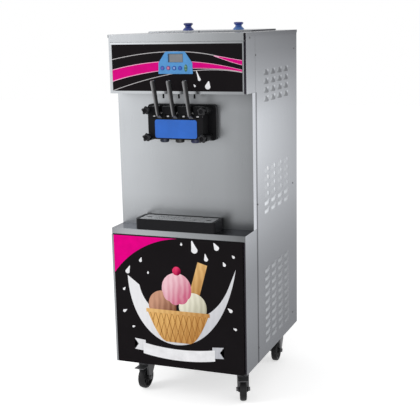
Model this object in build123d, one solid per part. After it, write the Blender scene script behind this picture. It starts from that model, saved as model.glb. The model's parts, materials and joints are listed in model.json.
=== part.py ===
from build123d import *
import math
import os

# Floor-standing soft serve machine with two hoppers, two freezing cylinders and
# three outlets. Millimetres; X to the right as seen from the front, Y to the
# back, Z up. The sizes below are set from the front face of the splash panel
# (Y = 0) and the floor (Z = 0); at the end every piece is moved by origin_y, so
# that the origin is the middle of the machine's footprint on the floor.

# ---------------------------------------------------------------- cabinet sizes
width = 540.0                 # over the two side panels
cabinet_bottom = 152.0        # floor to the lower edge of the panels
ledge_top = 685.0             # floor to the shelf in front of the splash panel
head_bottom = 1193.0          # floor to the underside of the overhanging head
head_height = 216.0           # the head's underside to the top deck
rear_depth = 575.0            # splash face back to the rear panel
head_reach = 61.0             # splash face forward to the head's cheeks
lower_reach = 97.0            # splash face forward to the lower cheeks
seam_depth = 34.0             # splash face back to the side panels' front edges
seam_gap = 1.0
sheet = 1.5                   # stainless sheet
past = 1.0                    # how far a cut runs past the face that it opens

# front covers
head_cover_proud = 4.5        # how far the head cover stands before the cheeks
lower_cover_proud = 8.5
cover_side_gap = 7.5          # shadow gap between a cover and the cheek beside it
deck_band = 28.5              # height of the top deck's front flange
deck_wrap = 12.0              # height of its side and rear flanges
ledge_band = 23.0             # height of the ledge's front flange
cover_clearance = 1.0
head_bulkhead_set_back = 11.0  # bulkhead behind the head cheeks' front edges
door_frame_set_back = 10.0
door_frame_width = 36.0

# head graphic panel, control overlay, keys and display; a rise is measured from
# the head's underside
graphic_thickness = 1.0
graphic_side_border = 5.0
graphic_top_border = 7.0
graphic_bottom_border = 10.0
overlay_thickness = 1.5
overlay_top_half = 38.0
overlay_shoulder_half = 66.5
overlay_bottom_half = 67.5
overlay_top_rise = 152.5
overlay_shoulder_rise = 112.0
overlay_bottom_rise = 72.5
display_width = 58.5
display_height = 30.5
display_x = 1.0
display_rise = 129.5
lens_gap = 0.2
key_rise = 93.5
key_first_x = -51.0
key_pitch = 23.2
key_count = 4
key_radius = 6.3
key_clearance = 0.3
key_proud = 1.6
key_flange = 2.0
light_x = 41.0
light_half_width = 6.5
light_half_height = 13.0

# side and rear ventilation
louvre_length = 60.0
louvre_height = 16.0
louvre_proud = 6.0
louvre_wall = 0.9
louvre_slope = 9.0            # how far its ends and top run in
louvre_columns = (162.0, 247.0, 333.0, 419.0)
louvre_row_counts = (4, 6, 10)
louvre_rows = ((147.0, 33.0), (515.0, 32.0), (911.0, 31.5))   # first row below the deck, pitch
rear_slot_length = 300.0
rear_slot_height = 6.0
rear_slot_pitch = 20.0
rear_slot_count = 13

# frame and floor pan
pan_thickness = 2.0
pan_flange = 25.0
rail_width = 64.0
rail_wall = 3.0
rail_front = 2.0
shelf_z = 700.0
shelf_flange = 20.0

# ------------------------------------------------------------ freezing section
cylinder_spread = 62.0        # each cylinder's axis from the machine's middle
cylinder_z = 1085.0
cylinder_bore = 50.0          # radii
cylinder_outer = 56.0
cylinder_length = 338.0
cylinder_end = 8.0
face_plate = 8.0
beater_shaft = 10.0
beater_reach = 48.8
running_gap = 0.05
beater_front = 12.0           # splash face back to the frame's front end
beater_shaft_front = 30.0
beater_rear_gap = 6.0
beater_thickness = 5.0
beater_rim = 12.0
beater_windows = (62.0, 142.0, 222.0)
beater_window_length = 64.0
coupling_length = 30.0        # of the shaft in the reducer
coupling_gap = 2.0
gearbox_half = 46.0
motor_bracket_half = 22.0
motor_bracket_inset = 8.0
gearbox_length = 62.0
motor_radius = 42.0
motor_length = 120.0
cradle_y = 262.0
feed_tube_y = 200.0
feed_tube_outer = 13.0
feed_tube_bore = 10.0
feed_tube_length = 81.0       # the cylinder's wall to the hopper's bottom

# hoppers and lids
hopper_spread = 107.0
hopper_y = 322.0
hopper_width = 192.0
hopper_length = 286.0
hopper_wall = 1.5
hopper_rim = 7.0
hopper_corner = 12.0
feed_tube_seat = 3.0          # how far a feed tube stands in the cylinder's wall
lid_overhang = 2.5
lid_height = 5.0
lid_knob_height = 30.0
lid_knob_foot = 4.0
lid_knob_waist_low = 13.5
lid_knob_waist_high = 18.0
lid_knob_crown = 5.0
lid_knob_base = 22.0
lid_knob_waist = 13.5
lid_knob_top = 18.5

# ------------------------------------------------------------ dispensing block
flange_half = 137.0
flange_thickness = 22.0
flange_bottom = 1020.0
flange_top = 1152.0
flange_corner = 14.0
block_half = 104.0
block_reach = 78.0            # splash face forward to the block's front
block_bottom = 1029.0
block_top = 1148.0
outlet_pitch = 62.0
piston_y = -42.0
piston_radius = 14.0
piston_clearance = 0.25
piston_bottom = 1040.0
passage_radius = 8.0
passage_z = 1052.0
inlet_recess = 10.0
inlet_margin = 1.0            # the inlet's radius under the cylinder's
pivot_y = -73.0
pivot_z = 1112.5
pin_radius = 4.0
hub_radius = 9.0
handle_width = 16.0
handle_clearance = 0.5
handle_floor_gap = 1.5
pin_windows = ((31.0, 12.0), (86.0, 5.0))   # the pin shows here: from the middle, half width
pin_window_half = 8.0
handle_bend = (-98.0, 1124.0)
handle_tip = (-136.0, 1247.0)
handle_depth_bottom = 15.0
handle_depth_top = 18.0
handle_crank_set = 4.0
handle_crank_drop = 3.0
handle_round = 4.0
finger_length = 28.0
finger_half = 2.5
finger_tip = 4.0
finger_width = 10.0
notch_below = 7.5
notch_above = 5.5
notch_side_gap = 1.0
notch_back_gap = 1.5
piston_crown = 6.0
plate_half = 83.0
plate_bottom = 1032.5
plate_top = 1100.5
plate_thickness = 1.5
plate_corner = 6.0
knob_x = 110.0
knob_low_z = 1034.0
knob_high_z = 1133.0
boss_radius = 13.0
stud_radius = 4.0
stud_reach = 98.0
knob_gap = 0.3
knob_neck = 9.0
knob_neck_length = 3.0
knob_head_length = 23.0
knob_lobes = 5
knob_core = 11.5
knob_lobe = 5.0
nozzle_outer = 17.0
nozzle_bore = 9.0
nozzle_height = 16.0
nozzle_spigot = 6.0
nozzle_chamfer = 2.0
switch_width = 6.0
switch_depth = 4.0
switch_drop = 18.0
switch_y = -42.0

# ------------------------------------------------------------------- drip tray
tray_x = -10.0
tray_half = 160.0
tray_front = 98.0
tray_back = 2.0
tray_height = 42.0
tray_wall = 3.0
tray_corner = 14.0
tray_rim_side = 13.0
tray_rim_front = 4.0
grille_recess = 3.0
grille_thickness = 1.5
grille_seat = 6.0
grille_clearance = 0.5
grille_hole = 3.0
grille_rows = 3
grille_row_pitch = 17.0
grille_hole_pitch = 10.0
finger_slot_x = 121.0
finger_slot_length = 22.0
finger_slot_width = 12.0

# --------------------------------------------------------------------- casters
caster_x = 203.0
caster_front_y = 42.0
caster_rear_y = 500.0
caster_height = 120.0
wheel_radius = 46.0
tyre_width = 26.0
trail = 24.0
axle_radius = 5.0
axle_half = 27.0
axle_head = 8.0
fork_inner = 19.5
fork_wall = 3.0
fork_top = 107.5
fork_plate = 3.5
swivel_disc = 25.0
fork_back = 18.0              # how far a leg runs behind the kingpin
fork_back_drop = 16.0
fork_nose = 8.0               # leg past the pedal's pin
fork_axle_wrap = 10.0
fork_deck_back = 10.0
fork_deck_gap = 6.0           # deck short of the pedal's pin
kingpin_radius = 6.0
kingpin_head = 3.0
plate_half_x = 30.0
plate_half_y = 38.0
caster_plate_thickness = 3.0
race_radius = 22.0
bolt_x = 22.0
bolt_y = 29.0
bolt_radius = 5.5
bolt_head = 4.0
wheel_hub = 12.0
tyre_round = 5.0
tyre_thickness = 12.0
wheel_dish = 5.0
pedal_pivot = (30.0, 97.0)    # along the trail and above the floor
pedal_pin = 3.0
pedal_boss = 5.0
pedal_neck = 14.0
pedal_half = 20.0
pedal_reach = 78.0
pedal_thickness = 3.0
# name, side, row, heading of the trail in degrees about Z from +Y
caster_layout = (
    ("front_left", -1, "front", 176.0),
    ("front_right", 1, "front", 201.4),
    ("rear_left", -1, "rear", 168.0),
    ("rear_right", 1, "rear", 184.0),
)

# -------------------------------------------------------- refrigeration, inlet
compressor_x = 115.0
compressor_y = 190.0
compressor_radius = 85.0
compressor_height = 230.0
compressor_foot = 14.0
compressor_round = 35.0
compressor_shell = 5.0
compressor_inner_round = 31.0
foot_plate_margin = 5.0
foot_plate_thickness = 3.0
foot_plate_sink = 1.0         # how far the shell stands in its foot plate
grommet_inset = 14.0
grommet_radius = 9.0
condenser_x = -75.0
condenser_z = 310.0
condenser_half = 140.0
condenser_depth = 45.0
condenser_rear_gap = 20.0
shroud_depth = 30.0
fan_radius = 112.0
fan_hub = 22.0
fan_blades = 5
fan_shaft = 4.0
fan_motor_radius = 36.0
fan_motor_length = 60.0
fan_motor_gap = 8.0           # motor to shroud
fan_clearance = 6.0
fan_shaft_gap = 6.0           # shaft's end to the core
fan_length = 26.0
fan_hub_length = 16.0
blade_pitch = 28.0            # degrees
blade_thickness = 2.5
blade_chord = 46.0
blade_root = 4.0              # how far a blade stands in the hub
bracket_inset = 10.0
bracket_bar = 6.0
bracket_half = 12.0
bracket_set_back = 20.0       # behind the motor's front
gland_inset = 78.5            # from the left side panel's inner face
gland_z = 205.0
gland_radius = 13.0
gland_length = 20.0
gland_bore = 5.0
gland_neck = 9.0
gland_inside = 8.0
screw_radius = 4.0
screw_head = 2.2
head_screw = (40.0, 19.0)     # behind the cheek's front edge, below the deck
front_screws = ((6.0, 82.0), (14.0, 634.0), (14.0, 1197.0))   # behind the seam, below the deck
rear_screws = ((36.0, 75.0), (60.0, 631.0), (60.0, 1197.0))   # before the rear edge, below the deck
back_screw_inset = 15.0
back_screw_drops = (40.0, 724.0, 1237.0)

# ---------------------------------------------------------------- worked out
panel_outer = width / 2
panel_inner = panel_outer - sheet
cabinet_top = head_bottom + head_height
deck_under = cabinet_top - sheet
head_cover_front = -(head_reach + head_cover_proud)
head_bulkhead_y = -(head_reach - head_bulkhead_set_back)
lower_cover_front = -(lower_reach + lower_cover_proud)
door_frame_y = -(lower_reach - door_frame_set_back)
head_cover_half = panel_inner - cover_side_gap
head_cover_top = cabinet_top - deck_band - cover_clearance
lower_cover_top = ledge_top - ledge_band - cover_clearance
overlay_top = head_bottom + overlay_top_rise
overlay_shoulder = head_bottom + overlay_shoulder_rise
overlay_bottom = head_bottom + overlay_bottom_rise
display_z = head_bottom + display_rise
key_z = head_bottom + key_rise
graphic_front = head_cover_front - graphic_thickness
overlay_front = graphic_front - overlay_thickness
gearbox_front = cylinder_length
feed_tube_foot = cylinder_z + cylinder_outer - feed_tube_seat
hopper_bottom = feed_tube_foot + feed_tube_length
gland_x = -(panel_inner - gland_inset)
pan_top = cabinet_bottom + pan_thickness
piston_top = pivot_z + notch_above + piston_crown
outlets = {"left": -outlet_pitch, "center": 0.0, "right": outlet_pitch}
key_xs = [key_first_x + i * key_pitch for i in range(key_count)]
knob_places = {
    "upper_left": (-knob_x, knob_high_z),
    "upper_right": (knob_x, knob_high_z),
    "lower_left": (-knob_x, knob_low_z),
    "lower_right": (knob_x, knob_low_z),
}
tray_rim_z = ledge_top + tray_height
condenser_back = rear_depth - condenser_rear_gap
shroud_back = condenser_back - condenser_depth
fan_y = shroud_back - shroud_depth / 2


# --------------------------------------------------------------------- helpers
def block(x0, x1, y0, y1, z0, z1):
    """A box between two corners."""
    return Pos((x0 + x1) / 2, (y0 + y1) / 2, (z0 + z1) / 2) * Box(x1 - x0, y1 - y0, z1 - z0)


def rod_x(radius, x0, x1, y, z):
    return Pos((x0 + x1) / 2, y, z) * Rot(0, 90, 0) * Cylinder(radius, x1 - x0)


def rod_y(radius, y0, y1, x, z):
    return Pos(x, (y0 + y1) / 2, z) * Rot(90, 0, 0) * Cylinder(radius, y1 - y0)


def rod_z(radius, z0, z1, x, y):
    return Pos(x, y, (z0 + z1) / 2) * Cylinder(radius, z1 - z0)


def both_sides(piece):
    """The piece and its mirror image across the machine's middle."""
    return [piece, mirror(piece, about=Plane.YZ)]


def rounded_plate(x0, x1, z0, z1, y0, y1, corner):
    """An upright plate with round corners, facing along Y."""
    plate = block(x0, x1, y0, y1, z0, z1)
    return fillet(plate.edges().filter_by(Axis.Y), corner)


def rounded_tub(x0, x1, y0, y1, z0, z1, corner):
    """A solid with round upright corners."""
    tub = block(x0, x1, y0, y1, z0, z1)
    return fillet(tub.edges().filter_by(Axis.Z), corner)


pieces = {}


# ---------------------------------------------------------------- cabinet body
def base_pan():
    """Floor pan with upturned sides and the two channels that take the casters."""
    front = door_frame_y + sheet
    rear = rear_depth - sheet
    pan = block(-panel_inner, panel_inner, front, rear, cabinet_bottom, pan_top)
    for side in both_sides(block(panel_inner - pan_thickness, panel_inner, front, rear,
                                 pan_top, pan_top + pan_flange)):
        pan += side
    rail_rear = rear_depth - rail_front
    for side in (-caster_x, caster_x):
        half = rail_width / 2
        rail = block(side - half, side + half, rail_front, rail_rear, caster_height, cabinet_bottom)
        inside = half - rail_wall
        rail -= block(side - inside, side + inside, rail_front - past, rail_rear + past,
                      caster_height + rail_wall, cabinet_bottom - rail_wall)
        pan += rail
    return pan


def mid_shelf():
    """Shelf over the machine bay, with the cradle that carries the cylinders."""
    rear = rear_depth - sheet
    shelf = block(-panel_inner, panel_inner, seam_depth, rear, shelf_z, shelf_z + pan_thickness)
    for side in both_sides(block(panel_inner - pan_thickness, panel_inner, seam_depth, rear,
                                 shelf_z - shelf_flange, shelf_z)):
        shelf += side
    half = cylinder_spread + cylinder_outer
    cradle = block(-half, half, cradle_y, cradle_y + rail_wall, shelf_z + pan_thickness, cylinder_z)
    for x in (-cylinder_spread, cylinder_spread):
        cradle -= rod_y(cylinder_outer, cradle_y - past, cradle_y + rail_wall + past, x, cylinder_z)
    return shelf + cradle


def head_housing():
    """Cheeks, floor and bulkhead of the overhanging head."""
    cheek = block(panel_inner, panel_outer, -head_reach, seam_depth, head_bottom, deck_under)
    housing = block(-panel_inner, panel_inner, head_bulkhead_y, 0, head_bottom, head_bottom + sheet)
    housing += block(-panel_inner, panel_inner, head_bulkhead_y, head_bulkhead_y + sheet,
                     head_bottom + sheet, deck_under)
    for side in both_sides(cheek):
        housing += side
    return housing


def splash_panel():
    """Upright panel behind the outlets, with side returns back to the seam."""
    panel = block(-panel_outer, panel_outer, 0, sheet, ledge_top, head_bottom)
    for side in both_sides(block(panel_inner, panel_outer, sheet, seam_depth, ledge_top, head_bottom)):
        panel += side
    for x in (-cylinder_spread, cylinder_spread):
        panel -= rod_y(cylinder_outer + key_clearance, -past, sheet + past, x, cylinder_z)
    for x, z in knob_places.values():
        panel -= rod_y(stud_radius + seam_gap, -past, sheet + past, x, z)
    return panel


def lower_housing():
    """Ledge, its front flange, the lower cheeks and the frame behind the door."""
    housing = block(-panel_outer, panel_outer, -lower_reach, seam_depth, ledge_top - sheet, ledge_top)
    housing += block(-panel_inner, panel_inner, -lower_reach, -lower_reach + sheet,
                     ledge_top - ledge_band, ledge_top - sheet)
    for side in both_sides(block(panel_inner, panel_outer, -lower_reach, seam_depth,
                                 cabinet_bottom, ledge_top - sheet)):
        housing += side
    frame = block(-panel_inner, panel_inner, door_frame_y, door_frame_y + sheet,
                  cabinet_bottom, ledge_top - sheet)
    inside = panel_inner - door_frame_width
    frame -= block(-inside, inside, door_frame_y - past, door_frame_y + sheet + past,
                   cabinet_bottom + door_frame_width, ledge_top - 2 * door_frame_width)
    return housing + frame


def louvre_hood():
    """One pressed louvre, open below, standing out along +X from X = 0."""
    wall = louvre_wall
    slope = louvre_slope
    outer = Wedge(louvre_length, louvre_proud, louvre_height,
                  slope, 0, louvre_length - slope, louvre_height - slope)
    inner = Wedge(louvre_length - 2 * wall, louvre_proud - wall, louvre_height - wall,
                  slope, 0, louvre_length - 2 * wall - slope, louvre_height - wall - slope)
    hood = outer - Pos(0, -wall / 2, -wall / 2) * inner
    return Rot(0, 0, -90) * Pos(0, louvre_proud / 2, 0) * hood


def louvre_places():
    places = []
    for count, (drop, pitch) in zip(louvre_row_counts, louvre_rows):
        for row in range(count):
            places += [(y, cabinet_top - drop - row * pitch) for y in louvre_columns]
    return places


def side_panel():
    """Right-hand side panel with its pressed louvres."""
    front = seam_depth + seam_gap
    panel = block(panel_inner, panel_outer, front, rear_depth, cabinet_bottom, deck_under)
    slots = []
    hoods = []
    hood = louvre_hood()
    for y, z in louvre_places():
        half = louvre_length / 2 - louvre_wall
        slots.append(block(panel_inner - past, panel_outer + past, y - half, y + half,
                           z - louvre_height / 2, z + louvre_height / 2 - 2 * louvre_wall))
        hoods.append(Pos(panel_outer, y, z) * hood)
    return (panel - slots) + hoods


def rear_panel():
    """Back sheet between the side panels, slotted behind the condenser."""
    inset = panel_inner - lens_gap
    panel = block(-inset, inset, rear_depth - sheet, rear_depth, cabinet_bottom, deck_under)
    first = condenser_z - rear_slot_pitch * (rear_slot_count - 1) / 2
    slots = []
    for row in range(rear_slot_count):
        z = first + row * rear_slot_pitch
        slots.append(block(condenser_x - rear_slot_length / 2, condenser_x + rear_slot_length / 2,
                           rear_depth - sheet - past, rear_depth + past,
                           z - rear_slot_height / 2, z + rear_slot_height / 2))
    slots.append(rod_y(gland_neck + lens_gap, rear_depth - sheet - past, rear_depth + past, gland_x, gland_z))
    return panel - slots


def top_deck():
    """Top sheet with its front, side and rear flanges and the hopper openings."""
    front = head_cover_front
    rear = rear_depth + sheet
    outer = panel_outer + sheet
    deck = block(-outer, outer, front, rear, deck_under, cabinet_top)
    deck += block(-head_cover_half, head_cover_half, front, front + sheet, cabinet_top - deck_band, deck_under)
    deck += block(-outer, outer, rear_depth, rear, cabinet_top - deck_wrap, deck_under)
    for side in both_sides(block(panel_outer, outer, front, rear, cabinet_top - deck_wrap, deck_under)):
        deck += side
    for x in (-hopper_spread, hopper_spread):
        half_x = hopper_width / 2 + key_clearance
        half_y = hopper_length / 2 + key_clearance
        deck -= block(x - half_x, x + half_x, hopper_y - half_y, hopper_y + half_y,
                      deck_under - past, cabinet_top + past)
    return deck


def pan_cover(half, front, back, bottom, top):
    """A front cover folded from one sheet: a face with four edges turned back."""
    cover = block(-half, half, front, back, bottom, top)
    return cover - block(-half + sheet, half - sheet, front + sheet, back + past, bottom + sheet, top - sheet)


def control_holes(y0, y1):
    """Holes for the display, the keys and the light, through whatever lies between y0 and y1."""
    gap = key_clearance
    holes = block(display_x - display_width / 2 - gap, display_x + display_width / 2 + gap, y0, y1,
                  display_z - display_height / 2 - gap, display_z + display_height / 2 + gap)
    for x in key_xs:
        holes += rod_y(key_radius + gap, y0, y1, x, key_z)
    return holes + light_shape(y0, y1, gap)


def light_shape(y0, y1, grow):
    """Upright oval of the cooling light."""
    oval = Plane.XZ * Ellipse(light_half_width + grow, light_half_height + grow)
    return Pos(light_x, y1, key_z) * extrude(oval, amount=y1 - y0)


def head_front_cover():
    cover = pan_cover(head_cover_half, head_cover_front, head_bulkhead_y, head_bottom, head_cover_top)
    return cover - control_holes(head_cover_front - past, head_cover_front + sheet + past)


def head_graphic_panel():
    half = head_cover_half - graphic_side_border
    panel = block(-half, half, graphic_front, head_cover_front,
                  head_bottom + graphic_bottom_border, head_cover_top - graphic_top_border)
    return panel - control_holes(graphic_front - past, head_cover_front + past)


def control_overlay():
    """Six-sided membrane panel with its windows."""
    outline = Polyline((-overlay_bottom_half, overlay_bottom), (overlay_bottom_half, overlay_bottom),
                       (overlay_shoulder_half, overlay_shoulder), (overlay_top_half, overlay_top),
                       (-overlay_top_half, overlay_top), (-overlay_shoulder_half, overlay_shoulder), close=True)
    plate = Pos(0, graphic_front, 0) * extrude(make_face(Plane.XZ * outline), amount=overlay_thickness)
    return plate - control_holes(overlay_front - past, graphic_front + past)


def display_lenses():
    """Display window and the oval light's lens, let into the overlay."""
    front = overlay_front + lens_gap
    back = head_cover_front + sheet
    window = block(display_x - display_width / 2, display_x + display_width / 2, front, back,
                   display_z - display_height / 2, display_z + display_height / 2)
    return [window, light_shape(front, back, 0)]


def lower_front_cover():
    return pan_cover(head_cover_half, lower_cover_front, door_frame_y, cabinet_bottom, lower_cover_top)


def screw_places():
    """Positions (Y, Z) of the screws on each side of the cabinet."""
    places = [(-head_reach + head_screw[0], cabinet_top - head_screw[1])]
    places += [(seam_depth + seam_gap + inset, cabinet_top - drop) for inset, drop in front_screws]
    places += [(rear_depth - inset, cabinet_top - drop) for inset, drop in rear_screws]
    return places


def panel_screws():
    """Pan-head screws of the side panels and the rear panel."""
    screws = []
    for y, z in screw_places():
        screws += both_sides(rod_x(screw_radius, panel_outer, panel_outer + screw_head, y, z))
    for drop in back_screw_drops:
        screws += both_sides(rod_y(screw_radius, rear_depth, rear_depth + screw_head,
                                   panel_inner - back_screw_inset, cabinet_top - drop))
    return screws


# ----------------------------------------------------------- freezing section
def hopper(side):
    """Open bin hung from the deck by its rim, with a feed tube to the cylinder below."""
    x = side * hopper_spread
    half_x = hopper_width / 2
    half_y = hopper_length / 2
    rim_top = cabinet_top + hopper_wall
    tub = rounded_tub(x - half_x, x + half_x, hopper_y - half_y, hopper_y + half_y, hopper_bottom, rim_top,
                      hopper_corner)
    tub += block(x - half_x - hopper_rim, x + half_x + hopper_rim, hopper_y - half_y - hopper_rim,
                 hopper_y + half_y + hopper_rim, cabinet_top, rim_top)
    tub -= rounded_tub(x - half_x + hopper_wall, x + half_x - hopper_wall, hopper_y - half_y + hopper_wall,
                       hopper_y + half_y - hopper_wall, hopper_bottom + hopper_wall, rim_top + past,
                       hopper_corner - hopper_wall)
    tube_x = side * cylinder_spread
    tub += rod_z(feed_tube_outer, feed_tube_foot, hopper_bottom, tube_x, feed_tube_y)
    return tub - rod_z(feed_tube_bore, feed_tube_foot - past, hopper_bottom + hopper_wall + past,
                       tube_x, feed_tube_y)


def freezing_cylinders():
    """Two cylinders on one face plate, with the studs that hold the dispensing block."""
    plate = block(-flange_half, flange_half, sheet, sheet + face_plate, flange_bottom, flange_top)
    unit = plate
    for x in (-cylinder_spread, cylinder_spread):
        unit += rod_y(cylinder_outer, 0, cylinder_length, x, cylinder_z)
    for x in (-cylinder_spread, cylinder_spread):
        unit -= rod_y(cylinder_bore, -past, cylinder_length - cylinder_end, x, cylinder_z)
        unit -= rod_y(beater_shaft + running_gap, cylinder_length - cylinder_end - past, cylinder_length + past,
                      x, cylinder_z)
        unit -= rod_z(feed_tube_outer + lens_gap, cylinder_z, cylinder_z + cylinder_outer + past,
                      x, feed_tube_y)
    for x, z in knob_places.values():
        unit += rod_y(stud_radius, -stud_reach, sheet + face_plate, x, z)
    return unit


def gear_motor(x):
    """Reducer and motor behind a cylinder, on a bracket from the shelf."""
    rear = gearbox_front + gearbox_length
    unit = block(x - gearbox_half, x + gearbox_half, gearbox_front, rear,
                 cylinder_z - gearbox_half, cylinder_z + gearbox_half)
    unit += rod_y(motor_radius, rear, rear + motor_length, x, cylinder_z)
    unit += block(x - motor_bracket_half, x + motor_bracket_half, gearbox_front + motor_bracket_inset,
                  rear - motor_bracket_inset, shelf_z + pan_thickness, cylinder_z - gearbox_half)
    return unit - rod_y(beater_shaft + running_gap, gearbox_front - past,
                        gearbox_front + coupling_length + coupling_gap, x, cylinder_z)


def beater(x):
    """Scraper frame on its drive shaft."""
    rear = cylinder_length - cylinder_end - beater_rear_gap
    half = beater_thickness / 2
    inside = beater_reach - beater_rim
    shaft = rod_y(beater_shaft, beater_shaft_front, gearbox_front + coupling_length, x, cylinder_z)
    frame = block(x - beater_reach, x + beater_reach, beater_front, rear, cylinder_z - half, cylinder_z + half)
    for y in beater_windows:
        frame -= block(x - inside, x + inside, y, y + beater_window_length,
                       cylinder_z - half - past, cylinder_z + half + past)
    round_off = rod_y(beater_reach, beater_front, rear, x, cylinder_z)
    return shaft + (frame & round_off)


# ------------------------------------------------------------ dispensing block
def dispensing_block():
    """Moulded block over both cylinder mouths, with three upright valve bores."""
    body = rounded_plate(-flange_half, flange_half, flange_bottom, flange_top, -flange_thickness, 0,
                         flange_corner)
    body += block(-block_half, block_half, -block_reach, -flange_thickness, block_bottom, block_top)
    for x, z in knob_places.values():
        body += rod_y(boss_radius, -block_reach, -flange_thickness, x, z)
    for x, z in knob_places.values():
        body -= rod_y(stud_radius + seam_gap, -block_reach - past, past, x, z)
    for x in (-cylinder_spread, cylinder_spread):
        body -= rod_y(cylinder_bore - inlet_margin, -inlet_recess, past, x, cylinder_z)
    body -= block(-cylinder_spread / 2, cylinder_spread / 2, -inlet_recess, past,
                  passage_z - passage_radius, passage_z + passage_radius)
    slot_half = handle_width / 2 + handle_clearance
    slot_floor = pivot_z - hub_radius - handle_floor_gap
    for x in outlets.values():
        body -= rod_z(piston_radius + piston_clearance, block_bottom - past, block_top + past, x, piston_y)
        body -= rod_y(passage_radius, piston_y, past, x, passage_z)
        body -= block(x - slot_half, x + slot_half, -block_reach - past, piston_y, slot_floor, block_top + past)
    for x, half in pin_windows:
        body -= both_sides(block(x - half, x + half, -block_reach - past, pivot_y,
                                 pivot_z - pin_window_half, pivot_z + pin_window_half))
    return body - rod_x(pin_radius + running_gap, -block_half - past, block_half + past, pivot_y, pivot_z)


def handle(x):
    """Draw handle: hub on the pin, cranked bar, and the finger that lifts the piston."""
    half = handle_width / 2
    bend_y, bend_z = handle_bend
    tip_y, tip_z = handle_tip
    lean = math.atan2(bend_y - tip_y, tip_z - bend_z)
    across = Vector(0, math.cos(lean), math.sin(lean))
    low = across * (handle_depth_bottom / 2)
    high = across * (handle_depth_top / 2)
    bend = Vector(0, bend_y, bend_z)
    tip = Vector(0, tip_y, tip_z)
    corners = [bend - low, tip - high, tip + high, bend + low]
    bar = extrude(make_face(Polyline(*corners, close=True)), amount=half, dir=(1, 0, 0), both=True)
    crank_half = handle_depth_bottom / 2
    crank = [Vector(0, pivot_y, pivot_z - crank_half),
             Vector(0, bend_y + handle_crank_set, bend_z - crank_half - handle_crank_drop),
             bend - low, bend + low, Vector(0, pivot_y, pivot_z + crank_half)]
    arm = extrude(make_face(Polyline(*crank, close=True)), amount=half, dir=(1, 0, 0), both=True)
    lever = rod_x(hub_radius, -half, half, pivot_y, pivot_z) + arm + bar
    lever = fillet(lever.edges().sort_by(Axis.Z)[-4:], handle_round)
    finger_y = pivot_y + finger_length
    lever += block(-finger_width / 2, finger_width / 2, pivot_y, finger_y,
                   pivot_z - finger_half, pivot_z + finger_half)
    lever += rod_x(finger_tip, -finger_width / 2, finger_width / 2, finger_y, pivot_z)
    lever -= rod_x(pin_radius + running_gap, -half - past, half + past, pivot_y, pivot_z)
    return Pos(x, 0, 0) * lever


def piston(x):
    """Valve piston with the notch that the handle's finger works in."""
    valve = rod_z(piston_radius, piston_bottom, piston_top, x, piston_y)
    half = finger_width / 2 + notch_side_gap
    notch_back = pivot_y + finger_length + finger_tip + notch_back_gap
    return valve - block(x - half, x + half, piston_y - piston_radius - past, notch_back,
                         pivot_z - notch_below, pivot_z + notch_above)


def block_plate():
    return rounded_plate(-plate_half, plate_half, plate_bottom, plate_top,
                         -block_reach - plate_thickness, -block_reach, plate_corner)


def nozzle_cap(x):
    """Screwed-on outlet ring with a spigot up into the valve bore."""
    ring = rod_z(nozzle_outer, block_bottom - nozzle_height, block_bottom, x, piston_y)
    ring = chamfer(ring.edges().sort_by(Axis.Z)[0], nozzle_chamfer)
    ring += rod_z(piston_radius, block_bottom, block_bottom + nozzle_spigot, x, piston_y)
    return ring - rod_z(nozzle_bore, block_bottom - nozzle_height - past, block_bottom + nozzle_spigot + past,
                        x, piston_y)


def star_knob(x, z):
    """Five-lobed hand nut on its stud."""
    neck_front = -block_reach - knob_gap - knob_neck_length
    head_front = neck_front - knob_head_length
    knob = rod_y(knob_neck, neck_front, -block_reach - knob_gap, x, z)
    knob += rod_y(knob_core, head_front, neck_front, x, z)
    for i in range(knob_lobes):
        turn = math.radians(90 + 360 * i / knob_lobes)
        knob += rod_y(knob_lobe, head_front, neck_front,
                      x + knob_core * math.cos(turn), z + knob_core * math.sin(turn))
    return knob - rod_y(stud_radius + running_gap, -stud_reach - past, -block_reach, x, z)


def handle_switches():
    """Small switch levers under the head, one behind each handle."""
    half = switch_width / 2
    return [block(x - half, x + half, switch_y - switch_depth / 2, switch_y + switch_depth / 2,
                  head_bottom - switch_drop, head_bottom) for x in outlets.values()]


def control_key(x):
    """Round push key, kept behind the cover by its flange."""
    back = head_cover_front + sheet + key_clearance
    key = rod_y(key_radius, overlay_front - key_proud, back, x, key_z)
    return key + rod_y(key_radius + key_flange, back, back + key_flange, x, key_z)


# ------------------------------------------------------------------- drip tray
def drip_tray():
    """Open black tray with a seat for its grille just under the rim."""
    x0, x1 = tray_x - tray_half, tray_x + tray_half
    tray = rounded_tub(x0, x1, -tray_front, -tray_back, ledge_top, tray_rim_z, tray_corner)
    seat_x = tray_half - tray_rim_side
    tray -= rounded_tub(tray_x - seat_x, tray_x + seat_x,
                        -tray_front + tray_rim_front, -tray_back - tray_rim_front,
                        tray_rim_z - grille_recess, tray_rim_z + past, tray_corner - tray_rim_front)
    well_x = seat_x - grille_seat
    well_front = tray_front - tray_rim_front - grille_seat
    well_back = tray_back + tray_rim_front + grille_seat
    return tray - rounded_tub(tray_x - well_x, tray_x + well_x, -well_front, -well_back,
                              ledge_top + tray_wall, tray_rim_z, tray_corner - tray_rim_front)


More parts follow.
